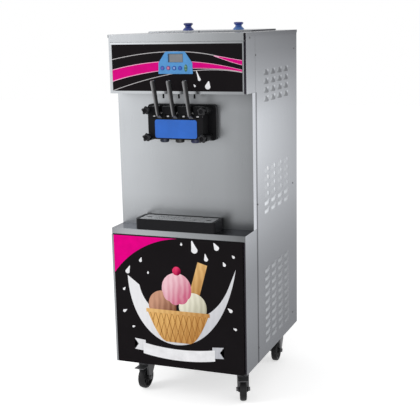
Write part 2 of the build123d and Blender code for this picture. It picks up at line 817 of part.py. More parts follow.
def drip_grille():
    """Perforated sheet over the tray with a finger slot at each end."""
    gap = grille_clearance
    half = tray_half - tray_rim_side - gap
    front = -tray_front + tray_rim_front + gap
    back = -tray_back - tray_rim_front - gap
    bottom = tray_rim_z - grille_recess
    sheet_plate = rounded_tub(tray_x - half, tray_x + half, front, back, bottom, bottom + grille_thickness,
                              tray_corner - tray_rim_front - gap)
    middle = (front + back) / 2
    holes = []
    for side in (-1, 1):
        slot = SlotOverall(finger_slot_length, finger_slot_width)
        slot = extrude(slot, amount=grille_thickness + 2 * past)
        holes.append(Pos(tray_x + side * finger_slot_x, middle, bottom - past) * slot)
    columns = int((finger_slot_x - finger_slot_length) // grille_hole_pitch)
    for row in range(grille_rows):
        y = middle + (row - (grille_rows - 1) / 2) * grille_row_pitch
        for column in range(-columns, columns + 1):
            x = tray_x + column * grille_hole_pitch
            holes.append(rod_z(grille_hole, bottom - past, bottom + grille_thickness + past, x, y))
    return sheet_plate - holes


def hopper_lid(x):
    """Shallow lid pressed from sheet, resting on the hopper's rim."""
    half_x = hopper_width / 2 + hopper_rim + lid_overhang
    half_y = hopper_length / 2 + hopper_rim + lid_overhang
    bottom = cabinet_top + hopper_wall
    lid = block(x - half_x, x + half_x, hopper_y - half_y, hopper_y + half_y, bottom, bottom + lid_height)
    inside = hopper_rim + lid_overhang + hopper_wall
    return lid - block(x - half_x + inside, x + half_x - inside, hopper_y - half_y + inside,
                       hopper_y + half_y - inside, bottom - past, bottom + lid_height - sheet)


def lid_knob(x):
    """Waisted hand knob on a lid."""
    height = lid_knob_height
    outline = Polyline((0, 0), (lid_knob_base, 0), (lid_knob_base, lid_knob_foot),
                       (lid_knob_waist, lid_knob_waist_low), (lid_knob_waist, lid_knob_waist_high),
                       (lid_knob_top, height - lid_knob_crown), (lid_knob_top, height), (0, height), close=True)
    body = revolve(make_face(Plane.XZ * outline), Axis.Z)
    return Pos(x, hopper_y, cabinet_top + hopper_wall + lid_height) * body


# --------------------------------------------------------------------- casters
def at_caster(shape, side, row, heading):
    """Put a caster piece, drawn with its trail along +Y, at its corner and heading."""
    y = caster_front_y if row == "front" else caster_rear_y
    return Pos(side * caster_x, y, 0) * Rot(0, 0, heading) * shape


def caster_plate():
    """Top plate with its race, kingpin and bolt heads."""
    under = caster_height - caster_plate_thickness
    deck_under = fork_top - fork_plate
    plate = block(-plate_half_x, plate_half_x, -plate_half_y, plate_half_y, under, caster_height)
    plate += rod_z(race_radius, fork_top + lens_gap, under, 0, 0)
    plate += rod_z(kingpin_radius, deck_under - lens_gap, under, 0, 0)
    plate += rod_z(kingpin_radius + kingpin_head, deck_under - lens_gap - kingpin_head, deck_under - lens_gap,
                   0, 0)
    for x in (-bolt_x, bolt_x):
        for y in (-bolt_y, bolt_y):
            plate += rod_z(bolt_radius, under - bolt_head, under, x, y)
    return plate


def caster_fork(with_pedal):
    """Pressed fork with its axle, turning under the plate."""
    outer = fork_inner + fork_wall
    deck = rod_z(swivel_disc, fork_top - fork_plate, fork_top, 0, 0)
    pin_y, pin_z = pedal_pivot
    deck += block(-outer, outer, -fork_deck_back, pin_y - fork_deck_gap, fork_top - fork_plate, fork_top)
    leg = Polyline((-fork_back, fork_top), (pin_y + fork_nose, fork_top),
                   (pin_y + fork_nose, pin_z - fork_nose),
                   (trail + fork_axle_wrap, wheel_radius), (trail, wheel_radius - fork_axle_wrap),
                   (trail - fork_axle_wrap, wheel_radius), (-fork_back, fork_top - fork_back_drop), close=True)
    leg = extrude(make_face(Plane.YZ * leg), amount=fork_wall, dir=(1, 0, 0))
    fork = deck + Pos(fork_inner, 0, 0) * leg + Pos(-outer, 0, 0) * leg
    fork -= rod_z(kingpin_radius + running_gap, fork_top - fork_plate - past, fork_top + past, 0, 0)
    fork += rod_x(axle_radius, -axle_half, axle_half, trail, wheel_radius)
    for x0, x1 in ((-axle_half, -outer), (outer, axle_half)):
        fork += rod_x(axle_head, x0, x1, trail, wheel_radius)
    if with_pedal:
        fork -= rod_x(pedal_pin + running_gap, -outer - past, outer + past, *pedal_pivot)
    return fork


def caster_wheel():
    """Moulded wheel: tyre, web and hub."""
    half = tyre_width / 2
    wheel = rod_x(wheel_radius, -half, half, trail, wheel_radius)
    wheel = fillet(wheel.edges(), tyre_round)
    for side in (-1, 1):
        x0, x1 = sorted((side * (half - wheel_dish), side * (half + past)))
        wheel -= rod_x(wheel_radius - tyre_thickness, x0, x1, trail, wheel_radius)
    hub = fork_inner - key_clearance
    wheel += rod_x(wheel_hub, -hub, hub, trail, wheel_radius)
    return wheel - rod_x(axle_radius + running_gap, -hub - past, hub + past, trail, wheel_radius)


def brake_pedal():
    """Foot pedal over the wheel, on a pin between the fork's legs."""
    y, z = pedal_pivot
    outer = fork_inner + fork_wall
    half = pedal_thickness / 2
    neck = fork_inner - seam_gap
    pedal = rod_x(pedal_pin, -outer, outer, y, z) + rod_x(pedal_boss, -neck, neck, y, z)
    pedal += block(-neck, neck, y, y + pedal_neck, z - half, z + half)
    return pedal + block(-pedal_half, pedal_half, y + pedal_neck, pedal_reach, z - half, z + half)


# -------------------------------------------------------- refrigeration, inlet
def compressor():
    """Hermetic compressor: welded shell on a foot plate."""
    foot = pan_top + compressor_foot
    shell = rod_z(compressor_radius, foot, foot + compressor_height, compressor_x, compressor_y)
    shell = fillet(shell.edges(), compressor_round)
    inner = rod_z(compressor_radius - compressor_shell, foot + compressor_shell,
                  foot + compressor_height - compressor_shell, compressor_x, compressor_y)
    shell -= fillet(inner.edges(), compressor_inner_round)
    reach = compressor_radius + foot_plate_margin
    plate_bottom_z = foot + foot_plate_sink - foot_plate_thickness
    unit = shell + block(compressor_x - reach, compressor_x + reach, compressor_y - reach, compressor_y + reach,
                         plate_bottom_z, foot + foot_plate_sink)
    inset = reach - grommet_inset
    for x in (compressor_x - inset, compressor_x + inset):
        for y in (compressor_y - inset, compressor_y + inset):
            unit += rod_z(grommet_radius, pan_top, plate_bottom_z, x, y)
    return unit


def condenser():
    """Finned core with its fan shroud and fan motor, standing on the floor pan."""
    x0, x1 = condenser_x - condenser_half, condenser_x + condenser_half
    core = block(x0, x1, shroud_back, condenser_back, pan_top, condenser_z + condenser_half)
    shroud = block(x0, x1, shroud_back - shroud_depth, shroud_back, condenser_z - condenser_half,
                   condenser_z + condenser_half)
    shroud -= rod_y(fan_radius + fan_clearance, shroud_back - shroud_depth - past, shroud_back,
                    condenser_x, condenser_z)
    motor_front = shroud_back - shroud_depth - fan_motor_length - fan_motor_gap
    motor = rod_y(fan_motor_radius, motor_front, motor_front + fan_motor_length, condenser_x, condenser_z)
    motor += rod_y(fan_shaft, motor_front + fan_motor_length, shroud_back - fan_shaft_gap,
                   condenser_x, condenser_z)
    bar = motor_front + bracket_set_back
    left, right = x0 + bracket_inset, x1 - bracket_inset
    bottom, top = condenser_z - bracket_half, condenser_z + bracket_half
    bracket = block(left, right, bar, bar + bracket_bar, bottom, top)
    for x in (left, right - bracket_bar):
        bracket += block(x, x + bracket_bar, bar, shroud_back - shroud_depth, bottom, top)
    return core + shroud + motor + bracket


def fan():
    """Axial fan on the motor's shaft."""
    wheel = rod_y(fan_hub, fan_y - fan_hub_length / 2, fan_y + fan_hub_length / 2, 0, 0)
    blade_length = fan_radius - fan_hub + blade_root
    blade = Rot(blade_pitch, 0, 0) * Box(blade_length, blade_thickness, blade_chord)
    blade = Pos(fan_radius - blade_length / 2, 0, 0) * blade
    for i in range(fan_blades):
        wheel += Rot(0, 360 * i / fan_blades, 0) * Pos(0, fan_y, 0) * blade
    wheel &= rod_y(fan_radius, fan_y - fan_length / 2, fan_y + fan_length / 2, 0, 0)
    wheel -= rod_y(fan_shaft + running_gap, fan_y - fan_length, fan_y + fan_length, 0, 0)
    return Pos(condenser_x, 0, condenser_z) * wheel


def cable_gland():
    """Gland for the supply cord, through the rear panel."""
    gland = rod_y(gland_radius, rear_depth, rear_depth + gland_length, gland_x, gland_z)
    gland += rod_y(gland_neck, rear_depth - sheet - gland_inside, rear_depth, gland_x, gland_z)
    return gland - rod_y(gland_bore, rear_depth - sheet - gland_inside - past, rear_depth + gland_length + past,
                         gland_x, gland_z)


# -------------------------------------------------------------------- assembly
pieces["base_pan"] = base_pan()
pieces["mid_shelf"] = mid_shelf()
pieces["head_housing"] = head_housing()
pieces["splash_panel"] = splash_panel()
pieces["lower_housing"] = lower_housing()
pieces["side_panel_right"] = side_panel()
pieces["side_panel_left"] = mirror(pieces["side_panel_right"], about=Plane.YZ)
pieces["rear_panel"] = rear_panel()
pieces["top_deck"] = top_deck()
pieces["head_front_cover"] = head_front_cover()
pieces["head_graphic_panel"] = head_graphic_panel()
pieces["lower_front_cover"] = lower_front_cover()
pieces["control_overlay"] = control_overlay()
pieces["display_lenses"] = display_lenses()
pieces["panel_screws"] = panel_screws()
pieces["freezing_cylinders"] = freezing_cylinders()
pieces["gear_motors"] = [gear_motor(-cylinder_spread), gear_motor(cylinder_spread)]
pieces["condensing_unit"] = [compressor(), condenser()]
pieces["fan"] = fan()
pieces["dispensing_block"] = dispensing_block()
pieces["handle_pin"] = rod_x(pin_radius, -block_half, block_half, pivot_y, pivot_z)
pieces["block_plate"] = block_plate()
pieces["nozzle_caps"] = [nozzle_cap(x) for x in outlets.values()]
pieces["handle_switches"] = handle_switches()
pieces["cable_gland"] = cable_gland()
pieces["drip_tray"] = drip_tray()
pieces["drip_grille"] = drip_grille()
for index, x in enumerate(key_xs, start=1):
    pieces[f"control_key_{index}"] = control_key(x)
for name, x in outlets.items():
    pieces[f"draw_handle_{name}"] = handle(x)
    pieces[f"valve_piston_{name}"] = piston(x)
for name, (x, z) in knob_places.items():
    pieces[f"star_knob_{name}"] = star_knob(x, z)
for name, side in (("left", -1), ("right", 1)):
    pieces[f"beater_{name}"] = beater(side * cylinder_spread)
    pieces[f"hopper_{name}"] = hopper(side)
    pieces[f"hopper_lid_{name}"] = hopper_lid(side * hopper_spread)
    pieces[f"lid_knob_{name}"] = lid_knob(side * hopper_spread)
plates = []
for name, side, row, heading in caster_layout:
    plates.append(at_caster(caster_plate(), side, row, 0))
    pieces[f"caster_fork_{name}"] = at_caster(caster_fork(row == "front"), side, row, heading)
    pieces[f"caster_wheel_{name}"] = at_caster(caster_wheel(), side, row, heading)
    if row == "front":
        pieces[f"brake_pedal_{name}"] = at_caster(brake_pedal(), side, row, heading)
pieces["caster_plates"] = plates


def as_list(piece):
    return piece if isinstance(piece, list) else [piece]


everything = Compound(children=[Compound(as_list(piece)) for piece in pieces.values()]).bounding_box()
origin_y = -(everything.min.Y + everything.max.Y) / 2

os.makedirs("parts", exist_ok=True)
for name, piece in pieces.items():
    solids = [solid for item in as_list(piece) for solid in item.solids()]
    placed = [Pos(0, origin_y, 0) * solid for solid in solids]
    export_step(placed[0] if len(placed) == 1 else Compound(placed), f"parts/{name}.step")
    print(name, len(solids))
print("origin_y", round(origin_y, 3), "height", round(everything.max.Z, 2), "nodes", len(pieces))
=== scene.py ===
import bpy
import bmesh
import json
import math
from mathutils import Matrix, Vector
from mathutils.geometry import interpolate_bezier


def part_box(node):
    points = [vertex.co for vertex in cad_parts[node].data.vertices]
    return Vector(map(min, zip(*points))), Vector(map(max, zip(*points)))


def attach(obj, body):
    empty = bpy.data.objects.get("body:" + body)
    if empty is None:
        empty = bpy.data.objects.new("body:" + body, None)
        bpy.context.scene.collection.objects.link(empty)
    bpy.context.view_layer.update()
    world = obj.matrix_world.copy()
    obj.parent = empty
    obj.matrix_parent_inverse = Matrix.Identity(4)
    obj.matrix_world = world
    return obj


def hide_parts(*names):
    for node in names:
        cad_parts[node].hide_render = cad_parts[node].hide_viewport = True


# A floor-standing soft serve machine, dressed piece by piece over its packed
# model. X runs to the right of someone facing it, Y to the back, Z up from the
# floor, in metres.
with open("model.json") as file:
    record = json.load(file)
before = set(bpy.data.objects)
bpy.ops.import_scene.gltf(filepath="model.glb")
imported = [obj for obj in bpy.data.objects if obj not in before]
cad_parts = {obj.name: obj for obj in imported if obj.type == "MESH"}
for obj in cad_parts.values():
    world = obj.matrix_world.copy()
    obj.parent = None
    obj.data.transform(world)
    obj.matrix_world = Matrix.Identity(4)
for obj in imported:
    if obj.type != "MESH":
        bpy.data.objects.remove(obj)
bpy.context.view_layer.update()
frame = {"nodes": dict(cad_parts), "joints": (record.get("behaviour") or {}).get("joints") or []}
nodes = frame["nodes"]
scene = bpy.context.scene
scene.view_settings.view_transform = "Standard"

# ------------------------------------------------------------------------------
# Camera: it stands in front of the machine's right-hand edge, a little above
# the top deck, and looks down and to the left.
camera_place = Vector((1.3393, -3.3905, 1.4515))
camera_turn = math.radians(21.44)
camera_dip = math.radians(11.59)
camera_lean = math.radians(-1.20)

camera = bpy.data.objects.new("camera", bpy.data.cameras.new("camera"))
camera.data.sensor_width = 36.0
camera.data.lens = 79.06
camera.matrix_world = (
    Matrix.Translation(camera_place)
    @ Matrix.Rotation(camera_turn, 4, "Z")
    @ Matrix.Rotation(math.pi / 2 - camera_dip, 4, "X")
    @ Matrix.Rotation(camera_lean, 4, "Z")
)
scene.collection.objects.link(camera)
scene.camera = camera

# ------------------------------------------------------------------------------
# Studio: a white floor, a white surround and soft lamps, the larger one on the
# left. Surround and floor are white to the eye and in gloss, and dimmer as light,
# so that the floor shows only the machine's own soft shadow.
surround_light = 0.55
floor_white = 0.56
lamps = [
    # name, place, aimed at, side, watts
    ("key lamp", (-2.6, -2.4, 2.3), (0.0, 0.0, 0.8), 1.6, 54.0),
    ("front lamp", (1.4, -3.4, 1.2), (0.0, 0.0, 0.7), 1.6, 18.0),
    ("side lamp", (3.0, 0.8, 1.6), (0.0, 0.0, 0.8), 1.6, 8.0),
]


def wire(tree, source, target):
    tree.links.new(source, target)


def seen_directly(tree, *kinds):
    """1 for the kinds of rays that are named and 0 for the others; returns the value."""
    path = tree.nodes.new("ShaderNodeLightPath")
    value = path.outputs[kinds[0]]
    for kind in kinds[1:]:
        either = tree.nodes.new("ShaderNodeMath")
        either.operation = "MAXIMUM"
        wire(tree, value, either.inputs[0])
        wire(tree, path.outputs[kind], either.inputs[1])
        value = either.outputs[0]
    return value


def range_node(tree, value, low, high, to_low=0.0, to_high=1.0):
    node = tree.nodes.new("ShaderNodeMapRange")
    wire(tree, value, node.inputs["Value"])
    for socket, number in zip(("From Min", "From Max", "To Min", "To Max"), (low, high, to_low, to_high)):
        node.inputs[socket].default_value = number
    return node.outputs["Result"]


world = bpy.data.worlds.new("surround")
scene.world = world
world.use_nodes = True
sky = world.node_tree
sky_shade = sky.nodes["Background"]
sky_shade.inputs["Color"].default_value = (1, 1, 1, 1)
sky_seen = seen_directly(sky, "Is Camera Ray", "Is Glossy Ray", "Is Transmission Ray")
wire(sky, range_node(sky, sky_seen, 0.0, 1.0, surround_light, 1.0), sky_shade.inputs["Strength"])

for lamp_name, place, target, side, watts in lamps:
    lamp = bpy.data.objects.new(lamp_name, bpy.data.lights.new(lamp_name, "AREA"))
    lamp.data.size = side
    lamp.data.energy = watts
    lamp.location = place
    aim = Vector(target) - Vector(place)
    lamp.rotation_mode = "QUATERNION"
    lamp.rotation_quaternion = aim.to_track_quat("-Z", "Y")
    scene.collection.objects.link(lamp)


def shader_material(name, color, roughness, metallic=0.0, specular=0.5):
    """A material with one Principled shader; returns it with its tree and shader."""
    material = bpy.data.materials.new(name)
    material.use_nodes = True
    shader = material.node_tree.nodes["Principled BSDF"]
    shader.inputs["Base Color"].default_value = (*color, 1)
    shader.inputs["Roughness"].default_value = roughness
    shader.inputs["Metallic"].default_value = metallic
    shader.inputs["Specular IOR Level"].default_value = specular
    return material, material.node_tree, shader


floor_paint, floor_tree, floor_shader = shader_material("floor paint", (0.86, 0.86, 0.86), 0.7, specular=0.0)
floor_seen = seen_directly(floor_tree, "Is Camera Ray", "Is Glossy Ray")
floor_shader.inputs["Emission Color"].default_value = (1, 1, 1, 1)
wire(floor_tree, range_node(floor_tree, floor_seen, 0.0, 1.0, 0.0, floor_white),
     floor_shader.inputs["Emission Strength"])

floor_mesh = bmesh.new()
bmesh.ops.create_grid(floor_mesh, x_segments=1, y_segments=1, size=12.0)
floor_data = bpy.data.meshes.new("floor")
floor_mesh.to_mesh(floor_data)
floor_mesh.free()
floor = bpy.data.objects.new("floor", floor_data)
floor_data.materials.append(floor_paint)
scene.collection.objects.link(floor)

# ------------------------------------------------------------------------------
# Head housing, ledge and deck: stainless sheet, folded at its edges and brushed
# along its height. Its long soft sheen, and the shade on it, are painted into its colour.

# Tones of the painted sheen are (share of the width, tone) across a front and (height
# in m, tone) up a side. A front is painted darker from left to right and towards the
# ledge; a side is painted brightest at the level of the outlets, along its front edge.
front_tones = [(0.0, 0.52), (0.11, 0.50), (0.3, 0.43), (0.5, 0.365), (0.78, 0.32), (0.88, 0.285),
               (0.95, 0.255), (1.0, 0.23)]
head_tones = [(0.0, 0.58), (0.25, 0.56), (0.5, 0.455), (0.78, 0.345), (0.95, 0.30), (1.0, 0.27)]
ledge_tones = [(0.0, 0.24), (0.08, 0.31), (0.25, 0.33), (0.5, 0.27), (0.78, 0.205), (0.92, 0.155),
               (1.0, 0.13)]
side_front_tones = [(0.15, 0.25), (0.35, 0.30), (0.54, 0.32), (0.65, 0.44), (0.80, 0.61), (0.93, 0.79),
                    (1.05, 0.87), (1.12, 0.82), (1.17, 0.66), (1.25, 0.50), (1.33, 0.38),
                    (1.39, 0.33), (1.407, 0.27)]
side_rear_tones = [(0.15, 0.21), (0.35, 0.235), (0.54, 0.285), (0.70, 0.42), (0.80, 0.49), (1.0, 0.49),
                   (1.12, 0.455), (1.22, 0.375), (1.30, 0.28), (1.39, 0.18), (1.407, 0.13)]
sheen_tint = (0.965, 1.0, 1.04)
# Painted shade along the foot of the splash, just above the ledge.
foot_shades = [
    # height above the ledge in m, tone at the ledge
    (0.30, 0.79),
    (0.12, 0.77),
]
# The painted shade under the head, and the painted light on top of the ledge.
brow_height, brow_shade = 0.06, 0.22
ledge_top_painted_light = 0.45
# A face looks along an axis where its normal holds more than this share of it.
facing = 0.6
# An edge is flat, and dissolved, under the first angle, and rounded past the second.
flat_angle, sharp_angle = math.radians(0.6), math.radians(40)
fold_radius = 0.0012
merge_distance = 1e-6
cabinet_low, cabinet_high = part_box("side_panel_right")
front_low, front_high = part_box("lower_front_cover")
ledge_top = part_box("lower_housing")[1].z
head_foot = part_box("head_front_cover")[0].z


def math_node(tree, operation, first, second=None, clamp=False):
    """A maths node with its inputs wired or set; returns its output."""
    node = tree.nodes.new("ShaderNodeMath")
    node.operation = operation
    node.use_clamp = clamp
    for socket, value in zip(node.inputs, (first, second)):
        if value is None:
            continue
        if isinstance(value, (int, float)):
            socket.default_value = value
        else:
            wire(tree, value, socket)
    return node.outputs[0]


def tone_ramp(tree, value, tones):
    """A smooth ramp of greys; returns its colour."""
    node = tree.nodes.new("ShaderNodeValToRGB")
    node.color_ramp.interpolation = "CARDINAL"
    while len(node.color_ramp.elements) < len(tones):
        node.color_ramp.elements.new(0.5)
    for element, (place, tone) in zip(node.color_ramp.elements, tones):
        element.position = place
        element.color = (*[tone * tint for tint in sheen_tint], 1)
    wire(tree, value, node.inputs["Fac"])
    return node.outputs["Color"]


def noise_node(tree, coordinates, stretch, detail):
    """Noise on object coordinates, stretched by a mapping; returns its value."""
    mapping = tree.nodes.new("ShaderNodeMapping")
    mapping.inputs["Scale"].default_value = stretch
    wire(tree, coordinates, mapping.inputs["Vector"])
    node = tree.nodes.new("ShaderNodeTexNoise")
    node.inputs["Scale"].default_value = 1.0
    node.inputs["Detail"].default_value = detail
    node.inputs["Roughness"].default_value = 0.55
    wire(tree, mapping.outputs["Vector"], node.inputs["Vector"])
    return node.outputs["Fac"]


def object_place(tree):
    return tree.nodes.new("ShaderNodeTexCoord").outputs["Object"]


def new_group(name, inputs, outputs):
    """An empty shader group with named sockets; returns it with its two ends."""
    group = bpy.data.node_groups.new(name, "ShaderNodeTree")
    for socket, kind, value in inputs:
        made = group.interface.new_socket(socket, in_out="INPUT", socket_type=kind)
        made.default_value = value
    for socket, kind in outputs:
        group.interface.new_socket(socket, in_out="OUTPUT", socket_type=kind)
    return group, group.nodes.new("NodeGroupInput"), group.nodes.new("NodeGroupOutput")


def place_group(tree, group, **values):
    node = tree.nodes.new("ShaderNodeGroup")
    node.node_tree = group
    for socket, value in values.items():
        node.inputs[socket].default_value = value
    return node


# Fine lines of a brushed finish, with faint cloudy handling marks over them.
brushed, brushed_in, brushed_out = new_group(
    "brushed finish",
    [("Base", "NodeSocketFloat", 0.3), ("Spread", "NodeSocketFloat", 0.1),
     ("Depth", "NodeSocketFloat", 0.00002)],
    [("Roughness", "NodeSocketFloat"), ("Height", "NodeSocketFloat"), ("Tint", "NodeSocketFloat")],
)
brushed_place = object_place(brushed)
brushed_spread = brushed_in.outputs["Spread"]
lines = noise_node(brushed, brushed_place, (900.0, 900.0, 9.0), detail=2.0)
clouds = noise_node(brushed, brushed_place, (5.0, 5.0, 3.0), detail=4.0)
lines_part = math_node(brushed, "MULTIPLY", math_node(brushed, "SUBTRACT", lines, 0.5), brushed_spread)
clouds_part = math_node(brushed, "MULTIPLY", math_node(brushed, "SUBTRACT", clouds, 0.5), brushed_spread)
both_parts = math_node(brushed, "ADD", lines_part, clouds_part)
line_roughness = math_node(brushed, "ADD", both_parts, brushed_in.outputs["Base"])
line_height = math_node(brushed, "MULTIPLY", lines, brushed_in.outputs["Depth"])
wire(brushed, line_roughness, brushed_out.inputs["Roughness"])
wire(brushed, line_height, brushed_out.inputs["Height"])
wire(brushed, range_node(brushed, both_parts, -0.1, 0.1, 0.965, 1.035), brushed_out.inputs["Tint"])


def multiply_color(tree, color, factor):
    """A colour times a value; returns the colour."""
    node = tree.nodes.new("ShaderNodeVectorMath")
    node.operation = "SCALE"
    wire(tree, color, node.inputs[0])
    wire(tree, factor, node.inputs["Scale"])
    return node.outputs["Vector"]


def mix_colors(tree, factor, first, second):
    """Two colours mixed by a value; returns the colour."""
    node = tree.nodes.new("ShaderNodeMix")
    node.data_type = "RGBA"
    for socket, value in ((node.inputs[0], factor), (node.inputs[6], first), (node.inputs[7], second)):
        if isinstance(value, (int, float)):
            socket.default_value = value
        elif isinstance(value, tuple):
            socket.default_value = (*value, 1)
        else:
            wire(tree, value, socket)
    return node.outputs[2]


def bump_node(tree, shader, height):
    """Roughen a shader's surface by a height in metres."""
    node = tree.nodes.new("ShaderNodeBump")
    node.inputs["Distance"].default_value = 1.0
    node.inputs["Strength"].default_value = 1.0
    wire(tree, height, node.inputs["Height"])
    wire(tree, node.outputs["Normal"], shader.inputs["Normal"])


def place_parts(tree, place):
    """X, Y and Z of a place or a direction."""
    parts = tree.nodes.new("ShaderNodeSeparateXYZ")
    wire(tree, place, parts.inputs[0])
    return parts.outputs


def normal_parts(tree, output):
    """X, Y and Z of a surface's normal."""
    geometry = tree.nodes.new("ShaderNodeNewGeometry")
    return place_parts(tree, geometry.outputs[output])


def by_height(tones):
    """Tones at heights in metres, as shares of the cabinet's height."""
    return [((height - cabinet_low.z) / (cabinet_high.z - cabinet_low.z), tone) for height, tone in tones]


def painted_sheen_color(tree, place):
    """The painted sheen and shade of the sheet at a place on the cabinet; returns its colour."""
    at = place_parts(tree, place)
    normal = normal_parts(tree, "True Normal")
    across = range_node(tree, at["X"], -cabinet_high.x, cabinet_high.x)
    upward = range_node(tree, at["Z"], cabinet_low.z, cabinet_high.z)
    backward = range_node(tree, at["Y"], front_low.y, cabinet_high.y)
    # Painted sheen across the front.
    splash = tone_ramp(tree, across, front_tones)
    # Painted shade just above the ledge.
    for reach, shade in foot_shades:
        rising = range_node(tree, at["Z"], ledge_top, ledge_top + reach, shade, 1.0)
        splash = multiply_color(tree, splash, rising)
    # Painted shade under the head, strongest at the right.
    brow = range_node(tree, at["Z"], head_foot - brow_height, head_foot, 0.0, brow_shade)
    under_brow = math_node(tree, "SUBTRACT", 1.0, math_node(tree, "MULTIPLY", brow, across))
    splash = multiply_color(tree, splash, under_brow)
    is_splash = math_node(tree, "GREATER_THAN", at["Z"], ledge_top)
    is_head = math_node(tree, "GREATER_THAN", at["Z"], head_foot)
    is_flat = math_node(tree, "GREATER_THAN", normal["Z"], facing)
    # Painted light on the faces of the ledge that look up.
    ledge = multiply_color(tree, tone_ramp(tree, across, ledge_tones),
                           math_node(tree, "ADD", math_node(tree, "MULTIPLY", is_flat, ledge_top_painted_light), 1.0))
    front = mix_colors(tree, is_splash, ledge, splash)
    front = mix_colors(tree, is_head, front, tone_ramp(tree, across, head_tones))
    # Painted sheen up a side, brightest at the level of the outlets.
    side = mix_colors(tree, backward, tone_ramp(tree, upward, by_height(side_front_tones)),
                      tone_ramp(tree, upward, by_height(side_rear_tones)))
    is_side = math_node(tree, "GREATER_THAN", math_node(tree, "ABSOLUTE", normal["X"]), facing)
    return mix_colors(tree, is_side, front, side)


def brushed_material(name, roughness, color_of):
    """Brushed sheet whose colour comes from color_of(tree, place)."""
    material, tree, shader = shader_material(name, (0.5, 0.5, 0.5), roughness, metallic=1.0)
    shader.inputs["Specular Tint"].default_value = (0.6, 0.6, 0.62, 1)
    brush = place_group(tree, brushed, Base=roughness, Spread=0.1, Depth=0.00002)
    color = multiply_color(tree, color_of(tree, object_place(tree)), brush.outputs["Tint"])
    wire(tree, color, shader.inputs["Base Color"])
    wire(tree, brush.outputs["Roughness"], shader.inputs["Roughness"])
    bump_node(tree, shader, brush.outputs["Height"])
    return material


stainless = brushed_material("stainless sheet", 0.2, painted_sheen_color)


def coat(material, *names):
    """Give CAD pieces a material."""
    for name in names:
        slots = nodes[name].data.materials
        slots.clear()
        slots.append(material)


def finish_piece(name, mesh, material, body="cabinet", replaced=()):
    """Turn a bmesh into a piece that rides on a body and may stand for CAD nodes."""
    data = bpy.data.meshes.new(name)
    mesh.to_mesh(data)
    mesh.free()
    data.materials.append(material)
    piece = bpy.data.objects.new(name, data)
    scene.collection.objects.link(piece)
    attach(piece, body)
    if replaced:
        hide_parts(*replaced)
    return piece


def smooth_piece(piece, angle=32.0):
    """Smooth shading with hard edges past an angle, weighted to the larger faces."""
    piece.data.shade_smooth()
    piece.data.set_sharp_from_angle(angle=math.radians(angle))
    weighted = piece.modifiers.new("weighted normals", "WEIGHTED_NORMAL")
    weighted.keep_sharp = True
    return piece


def round_edges(mesh, edges, radius, segments):
    bmesh.ops.bevel(mesh, geom=edges, offset=radius, offset_type="OFFSET", affect="EDGES", segments=segments,
                    profile=0.5, material=-1, clamp_overlap=True)


def rounded_copy(node, radius, segments=2):
    """The mesh of a CAD piece, merged, with its sharp edges rounded."""
    mesh = bmesh.new()
    mesh.from_mesh(nodes[node].data)
    bmesh.ops.remove_doubles(mesh, verts=mesh.verts, dist=merge_distance)
    bmesh.ops.dissolve_limit(mesh, angle_limit=flat_angle, verts=mesh.verts, edges=mesh.edges,
                             use_dissolve_boundaries=False)
    sharp = [edge for edge in mesh.edges if len(edge.link_faces) == 2
             and edge.calc_face_angle() > sharp_angle]
    round_edges(mesh, sharp, radius, segments)
    return mesh


def rounded_piece(name, node, radius, material, body="cabinet"):
    """A CAD piece with its sharp edges rounded, which stands for its node."""
    mesh = rounded_copy(node, radius)
    return smooth_piece(finish_piece(name, mesh, material, body=body, replaced=(node,)))


for node in ("head_housing", "lower_housing", "top_deck"):
    rounded_piece(f"{node}_folded", node, fold_radius, stainless)

# ------------------------------------------------------------------------------
# Rear panel: one flat sheet of the same steel, screwed on, with the exhaust slots
# of the fan cut through it. Its sheen is painted into its colour, brightest at half its height.


def rear_sheen_color(tree, place):
    """The painted sheen of a side's rear edge, up the rear panel."""
    upward = range_node(tree, place_parts(tree, place)["Z"], cabinet_low.z, cabinet_high.z)
    return tone_ramp(tree, upward, by_height(side_rear_tones))


coat(brushed_material("rear sheet", 0.25, rear_sheen_color), "rear_panel")

# ------------------------------------------------------------------------------
# Head cover: the same sheet, folded back along its edges over the front of the
# head. A highlight is painted along the margin above its printed panel.
panel_low, panel_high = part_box("head_graphic_panel")
margin_highlight = 0.30


def head_cover_color(tree, place):
    """The sheet's painted sheen, with a painted highlight on the upper margin, strongest at the left."""
    at = place_parts(tree, place)
    is_margin = math_node(tree, "GREATER_THAN", at["Z"], panel_high.z)
    gain = range_node(tree, at["X"], -cabinet_high.x, cabinet_high.x, margin_highlight, 0.0)
    factor = math_node(tree, "ADD", math_node(tree, "MULTIPLY", is_margin, gain), 1.0)
    return multiply_color(tree, painted_sheen_color(tree, place), factor)


head_cover_steel = brushed_material("head cover sheet", 0.2, head_cover_color)
rounded_piece("head_front_cover_folded", "head_front_cover", fold_radius, head_cover_steel)

# ------------------------------------------------------------------------------
# Splash panel: the same sheet, set upright behind the outlets between the head and
# the ledge. Its bent right-hand edge, which faces the light, has a highlight painted on it.
bend_highlight_tone = (0.74, 0.76, 0.80)


def splash_color(tree, place):
    """The sheet's painted sheen, with a painted highlight on the bend at the side."""
    parts = normal_parts(tree, "True Normal")
    is_bend = math_node(tree, "GREATER_THAN", parts["X"], facing)
    return mix_colors(tree, is_bend, painted_sheen_color(tree, place), bend_highlight_tone)


splash_steel = brushed_material("splash sheet", 0.3, splash_color)
rounded_piece("splash_panel_folded", "splash_panel", fold_radius, splash_steel)

# ------------------------------------------------------------------------------
# Side panels: the same sheet, with rows of louvres pressed out of it as low domes
# that are open below. Their light and shade are painted: the upper ones dark beside a bright
# rear corner, the middle ones the bright corner alone, the lower ones a highlight along their tops.
panel_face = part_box("splash_panel")[1].x
upper_louvres_from, lower_louvres_to = 1.13, 0.78
louvre_drop = 0.005
louvre_proud = cabinet_high.x - panel_face
